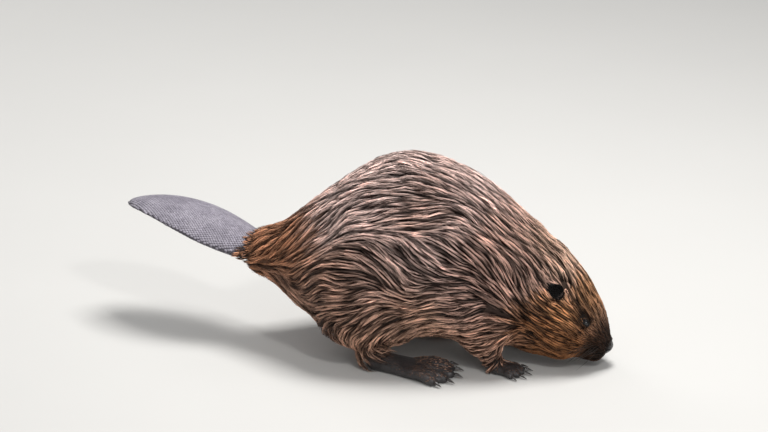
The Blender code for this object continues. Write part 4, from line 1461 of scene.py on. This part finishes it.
WHISKER_SEED = 9
WHISKER_ROWS = 3
WHISKER_COLUMNS = 5
WHISKER_PITCH = 0.0055  # between rows and between columns
WHISKER_START = (0.022, 0.030, -0.007)  # the first whisker, as (back, out, up) from the nose tip
WHISKER_COLUMN_DROP = 0.0012  # how much lower each column starts
WHISKER_WAY = (-0.72, 0.62, -0.30)  # where the lowest row leads (forward, outward, up)
WHISKER_ROW_TURN = (0.05, 0.0, 0.16)  # the change of that way with each row
WHISKER_SAG = (-0.30, 0.0, -0.12)  # where the tips are carried, as a share of the length
WHISKER_SPLAY = 0.55  # how much the skin's own facing turns a whisker outwards
WHISKER_STRAY = 0.08
WHISKER_LENGTHS = (0.024, 0.044)
WHISKER_WIDTH = 0.0007
WHISKER_STATIONS = 8
WHISKER_SUNK = 0.06  # share of the length that is let into the skin


def build_whiskers(look):
    """Stiff whiskers from the pads of the muzzle, swept back along the cheeks."""
    rng = np.random.default_rng(WHISKER_SEED)
    surface = skin_surface()
    starts, leads = [], []
    first_back, out, first_up = WHISKER_START
    for side in SIDES:
        for row in range(WHISKER_ROWS):
            lead = np.array(WHISKER_WAY) + row * np.array(WHISKER_ROW_TURN)
            for column in range(WHISKER_COLUMNS):
                back = first_back + WHISKER_PITCH * column
                up = first_up + WHISKER_PITCH * row - WHISKER_COLUMN_DROP * column
                starts.append(on_head(back, out, up, side))
                leads.append(unit(mirrored(lead, side)))
    starts, chosen = surface.nearest(np.array(starts))
    facing = surface.smooth_normals(starts, chosen)
    count = len(starts)
    length = rng.uniform(*WHISKER_LENGTHS, count)[:, None, None]
    heading = unit(facing * WHISKER_SPLAY + np.array(leads) + rng.normal(0, WHISKER_STRAY, (count, 3)))
    s = np.linspace(-WHISKER_SUNK, 1, WHISKER_STATIONS)[None, :, None]
    lines = starts[:, None] + heading[:, None] * length * s
    lines = lines + np.array(WHISKER_SAG) * length * np.clip(s, 0, 1) ** 2
    lines[:, :, 2] = np.maximum(lines[:, :, 2], FLOOR_GAP)
    ways = unit(np.gradient(lines, axis=1))
    facings = np.repeat(facing[:, None], WHISKER_STATIONS, axis=1)
    facings = unit(facings - ways * dot(facings, ways)[:, :, None])
    points = strand_points(lines, facings, ways, np.full(count, WHISKER_WIDTH), 1.0, np.zeros(count))
    faces = repeated(strand_faces(WHISKER_STATIONS), points.shape[1], count)
    mesh = new_mesh("whiskers", points.reshape(-1, 3), faces)
    new_piece("whiskers", mesh, "claw_horn", whisker_bristle(look.whisker))


# ---------------------------------------------------------------- the stage


def aimed(name, data, place, target):
    """A lamp or a camera at a place, looking at a target."""
    made = to_scene(name, data)
    made.location = place
    made.rotation_mode = "QUATERNION"
    made.rotation_quaternion = (target - made.location).to_track_quat("-Z", "Y")
    return made


def build_stage(look):
    """A pale floor, soft studio light and the camera."""
    half = look.floor_size / 2
    corners = np.array([(-half, -half, 0.0), (half, -half, 0.0), (half, half, 0.0), (-half, half, 0.0)])
    floor = to_scene("floor", new_mesh("floor", corners, np.array([[0, 1, 2, 3]])))
    finish = Finish("pale_floor", Roughness=0.85)
    finish.colour(finish.tint(look.floor_colour, finish.noise(scale=3.0), darkest=0.98, lightest=1.02))
    floor.data.materials.append(finish.material)

    target = Vector(look.target)
    for name, place, width, power in (
        ("overhead", (0.35, 0.35, 2.6), look.overhead_size, look.overhead_power),
        ("front_fill", (1.6, -2.6, 1.6), 2.4, look.fill_power),
        ("glint", (1.3, -1.9, 2.3), 0.3, look.glint_power),
        ("back_edge", (-1.8, 1.9, 1.7), 1.6, look.edge_power),
    ):
        light = bpy.data.lights.new(name, "AREA")
        light.size = width
        light.energy = power
        aimed(name, light, place, target)
    world = bpy.data.worlds.new("studio_air")
    world.use_nodes = True
    air = world.node_tree.nodes["Background"]
    air.inputs["Color"].default_value = (*look.air_colour, 1.0)
    air.inputs["Strength"].default_value = look.air_strength
    bpy.context.scene.world = world
    bpy.context.scene.view_settings.view_transform = "Standard"

    azimuth, elevation = look.azimuth, look.elevation
    level = math.cos(elevation)
    back = Vector((math.sin(azimuth) * level, -math.cos(azimuth) * level, math.sin(elevation)))
    lens = bpy.data.cameras.new("camera")
    lens.sensor_width = 36.0
    lens.lens = lens.sensor_width * look.distance / look.view_width
    lens.clip_end = 60.0
    bpy.context.scene.camera = aimed("camera", lens, target + back * look.distance, target)


# ---------------------------------------------------------------- settings, operators and panel


def a_length(name, description, default):
    """A length that a user may change."""
    return bpy.props.FloatProperty(
        name=name, description=description, default=default, unit="LENGTH", precision=5
    )


def a_share(name, description, default):
    """A plain number that a user may change."""
    return bpy.props.FloatProperty(name=name, description=description, default=default)


def an_angle(name, description, degrees):
    """An angle that a user may change."""
    return bpy.props.FloatProperty(
        name=name, description=description, default=math.radians(degrees), unit="ROTATION", subtype="ANGLE"
    )


def a_colour(name, description, code):
    """A colour that a user may change."""
    return bpy.props.FloatVectorProperty(
        name=name, description=description, default=linear(code), subtype="COLOR", min=0.0, max=1.0
    )


class BeaverSkinSettings(bpy.types.PropertyGroup):
    """Sizes of the skin under the coat."""

    voxel: a_length("Fineness", "Grid on which the flesh is fused", 0.0018)
    overlap: a_length("Overlap", "How far neighbouring solids are swollen into each other", 0.0005)
    depth: a_length("Coat depth", "How deep the coat is over the back", 0.010)
    fold: a_length("Thigh fold", "Depth of the fold between flank and thigh", 0.005)
    kept: a_share("Detail under the coat", "Share of the hidden faces that is kept", 0.20)


class BeaverHairSettings(bpy.types.PropertyGroup):
    """The coat's build and colours."""

    seed: bpy.props.IntProperty(name="Seed", description="Which chance layout the locks have", default=3)
    layers: a_share("Layers", "How many locks lie over each other", 3.0)
    least_spacing: a_length("Least spacing", "Distance between the finest locks", 0.0024)
    foot_spacing: a_length("Spacing on the feet", "Distance between the locks on the feet", 0.0036)
    crown: a_share("Crown", "How far a lock's middle is raised, as a share of the coat's depth", 0.20)
    rib_height: a_share("Rib height", "How far a rib stands above its grooves, beside the coat's depth", 0.36)
    gather: a_share("Gather", "How far the strands of a lock draw together at its tip", 0.6)
    rib_pitch: a_share("Rib pitch", "Distance between ribs, as a share of their usual one", 1.1)
    rib_packet: a_length("Rib run", "How far a rib runs before it forks or ends", 0.020)
    # The gaps between wedges are painted shade: they only darken the hair's colour.
    wedge_pitch: a_length("Wedge pitch", "Distance between the gaps that part the coat into wedges", 0.0130)
    wedge_packet: a_length("Gap run", "How long those gaps are", 0.017)
    gap_shade: a_share("Gap shade", "How dark those gaps are", 0.85)
    stray_angle: an_angle("Stray", "How far a lock strays from the lie of the coat", 3.0)
    curl_angle: an_angle("Curl", "How far a lock bends to and fro along itself", 4.0)
    wave_angle: an_angle("Wave", "How far the lie of the coat waves", 9.0)
    wave_length: a_length("Wave length", "Length of those waves", 0.070)
    roughness: a_share("Roughness", "Roughness of the wet hair", 0.42)
    shine: a_share("Shine", "Gloss of the hair itself", 0.16)
    wetness: a_share("Wetness", "Film of water on the hair", 0.06)
    # The roots' dark is partly the hair's own darker base and partly painted shade deep in the coat; the skin
    # under the deep coat takes it too.
    root_shade: a_share("Root shade", "Brightness of the roots beside the tips", 0.08)
    patchiness: a_share("Patchiness", "How much the brightness varies from lock to lock", 0.24)
    # Painted shade in the hollows between a lock's ribs, beside the lit ribs that keep the hair's full
    # colour.
    groove_shade: a_colour("Groove", "Tint of the wet hair in a lock's grooves", "35190f")
    # The hair colours below are the lit colours of the ribs: each is the hair's own colour with a painted
    # sheen of wet hair mixed in.
    back: a_colour("Back", "Hair over the back", "f7dad0")
    flank: a_colour("Flank", "Hair on the flanks", "eacabf")
    shoulder: a_colour("Shoulder", "Hair on the shoulders", "cda697")
    neck: a_colour("Neck", "Hair on the neck", "dcb4a3")
    crown_hair: a_colour("Crown of the head", "Hair on the crown", "e7c0a7")
    rump: a_colour("Rump", "Hair on the rump and the tail's root", "c68d6a")
    thigh: a_colour("Thigh", "Hair on the thighs", "cda38d")
    belly: a_colour("Belly", "Hair along the belly", "e7b79b")
    foreleg: a_colour("Foreleg", "Hair on the forelegs", "d2a48c")
    cheek: a_colour("Cheek", "Golden hair between ear and eye", "f9b47c")
    jaw: a_colour("Jaw", "Hair on the jaw and throat", "97653f")
    bridge: a_colour("Bridge", "Hair on the bridge of the nose and brow", "b68660")
    muzzle: a_colour("Muzzle", "Dark hair round the nose", "2d1c12")
    ear: a_colour("Ear", "Hair on the ears", "070504")
    # Paler hair on the ear's lower front rim, with a painted highlight in it.
    ear_rim_hair_and_highlight: a_colour("Ear rim", "Hair on the lower front rim of the ears", "6a5a54")
    foot: a_colour("Foot", "Hair on the feet", "28201e")


class BeaverEyeSettings(bpy.types.PropertyGroup):
    """Sizes of the eye's opening and its colours."""

    ball_share: a_share("Eyeball", "Size of the eyeball beside its packed solid", 0.97)
    ball_depth: a_length("Eyeball depth", "How much deeper the eyeball sits than its packed solid", 0.0022)
    opening_half: a_length("Half length", "Half the length of the opening between the lids", 0.0046)
    opening_above: a_length("Upper opening", "Height of the opening above its middle", 0.0031)
    opening_below: a_length("Lower opening", "Height of the opening below its middle", 0.0026)
    iris: a_colour("Iris", "Colour of the iris", "080504")
    white: a_colour("Rim of the eyeball", "Colour beyond the iris", "050403")


class BeaverTrimSettings(bpy.types.PropertyGroup):
    """Claws and whiskers."""

    claw: a_colour("Claw", "Colour of the claws", "2a2422")
    whisker: a_colour("Whisker", "Colour of the whiskers", "3a322d")


class BeaverTailSettings(bpy.types.PropertyGroup):
    """The tail's scales."""

    pitch_along: a_length("Pitch along", "Distance between every second row of scales", 0.0070)
    pitch_across: a_length("Pitch across", "Distance between scales in a row", 0.0043)
    height: a_length("Height", "How high a scale stands", 0.00070)
    lean: a_length("Lean", "How far a scale's far edge rises", 0.00018)
    bare_root: a_length("Furred root", "Length at the root that the coat covers", 0.006)
    colour: a_colour("Colour", "Lighter tone of the scales", "8d8791")
    shadow: a_colour("Shadow", "Darker tone of the scales", "746e79")


class BeaverStageSettings(bpy.types.PropertyGroup):
    """Floor, light and camera."""

    floor_size: a_length("Floor", "Side of the floor", 14.0)
    floor_colour: a_colour("Floor colour", "Colour of the floor", "c9c7c3")
    air_colour: a_colour("Air colour", "Colour of the light from all sides", "eef1f5")
    air_strength: a_share("Air strength", "Strength of the light from all sides", 0.34)
    overhead_power: a_share("Overhead", "Power of the overhead light, in watts", 75.0)
    overhead_size: a_length("Overhead size", "Side of the overhead light", 1.0)
    fill_power: a_share("Front fill", "Power of the front light, in watts", 30.0)
    glint_power: a_share("Glint", "Power of the small light that the eyes mirror, in watts", 20.0)
    edge_power: a_share("Back edge", "Power of the light from behind, in watts", 18.0)
    target: bpy.props.FloatVectorProperty(
        name="Target",
        description="Point that the camera looks at",
        default=(0.0228, 0.0570, 0.2025),
        subtype="TRANSLATION",
    )
    azimuth: an_angle("Azimuth", "Turn of the camera about the upright", 12.0)
    elevation: an_angle("Elevation", "Height of the camera above the level", 20.0)
    distance: a_length("Distance", "Distance of the camera", 7.0)
    view_width: a_length("View width", "Width of the view at the target", 1.2288)


class BeaverSettings(bpy.types.PropertyGroup):
    """Everything that a user may change."""

    skin: bpy.props.PointerProperty(type=BeaverSkinSettings)
    hair: bpy.props.PointerProperty(type=BeaverHairSettings)
    eye: bpy.props.PointerProperty(type=BeaverEyeSettings)
    trim: bpy.props.PointerProperty(type=BeaverTrimSettings)
    tail: bpy.props.PointerProperty(type=BeaverTailSettings)
    stage: bpy.props.PointerProperty(type=BeaverStageSettings)


class BEAVER_OT_skin(bpy.types.Operator):
    """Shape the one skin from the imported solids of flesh"""

    bl_idname = "beaver.skin"
    bl_label = "Skin"

    def execute(self, context):
        settings = context.scene.beaver
        build_skin(settings.skin, settings.eye, settings.hair)
        return {"FINISHED"}


class BEAVER_OT_eyes(bpy.types.Operator):
    """Set the eyeballs between the lids"""

    bl_idname = "beaver.eyes"
    bl_label = "Eyes"

    def execute(self, context):
        build_eyes(context.scene.beaver.eye)
        return {"FINISHED"}


class BEAVER_OT_coat(bpy.types.Operator):
    """Lay the wet coat over the skin"""

    bl_idname = "beaver.coat"
    bl_label = "Coat"

    def execute(self, context):
        build_coat(context.scene.beaver.hair, context.scene.beaver.eye)
        return {"FINISHED"}


class BEAVER_OT_tail_scales(bpy.types.Operator):
    """Lay the scales over the tail"""

    bl_idname = "beaver.tail_scales"
    bl_label = "Tail scales"

    def execute(self, context):
        build_tail_scales(context.scene.beaver.tail)
        return {"FINISHED"}


class BEAVER_OT_claws(bpy.types.Operator):
    """Round and finish the claws"""

    bl_idname = "beaver.claws"
    bl_label = "Claws"

    def execute(self, context):
        finish_claws(context.scene.beaver.trim)
        return {"FINISHED"}


class BEAVER_OT_whiskers(bpy.types.Operator):
    """Set the whiskers in the muzzle"""

    bl_idname = "beaver.whiskers"
    bl_label = "Whiskers"

    def execute(self, context):
        build_whiskers(context.scene.beaver.trim)
        return {"FINISHED"}


class BEAVER_OT_stage(bpy.types.Operator):
    """Set up the floor, the light and the camera"""

    bl_idname = "beaver.stage"
    bl_label = "Stage"

    def execute(self, context):
        build_stage(context.scene.beaver.stage)
        return {"FINISHED"}


OPERATORS = (
    BEAVER_OT_stage,
    BEAVER_OT_skin,
    BEAVER_OT_eyes,
    BEAVER_OT_claws,
    BEAVER_OT_tail_scales,
    BEAVER_OT_whiskers,
    BEAVER_OT_coat,
)


class BEAVER_PT_panel(bpy.types.Panel):
    """The steps of the model, in order"""

    bl_idname = "BEAVER_PT_panel"
    bl_label = "Beaver"
    bl_space_type = "VIEW_3D"
    bl_region_type = "UI"
    bl_category = "Beaver"

    def draw(self, context):
        for operator in OPERATORS:
            self.layout.operator(operator.bl_idname)


GROUPS = (
    BeaverSkinSettings,
    BeaverHairSettings,
    BeaverEyeSettings,
    BeaverTrimSettings,
    BeaverTailSettings,
    BeaverStageSettings,
    BeaverSettings,
)


def register():
    """Makes the settings, the operators and the panel known."""
    for group in (*GROUPS, *OPERATORS, BEAVER_PT_panel):
        bpy.utils.register_class(group)
    bpy.types.Scene.beaver = bpy.props.PointerProperty(type=BeaverSettings)


def unregister():
    """Takes them away again."""
    del bpy.types.Scene.beaver
    for group in reversed((*GROUPS, *OPERATORS, BEAVER_PT_panel)):
        bpy.utils.unregister_class(group)


def main():
    """Builds the whole model in order."""
    register()
    bpy.ops.beaver.stage()
    bpy.ops.beaver.skin()
    bpy.ops.beaver.eyes()
    bpy.ops.beaver.claws()
    bpy.ops.beaver.tail_scales()
    bpy.ops.beaver.whiskers()
    bpy.ops.beaver.coat()


if __name__ == "__main__":
    main()
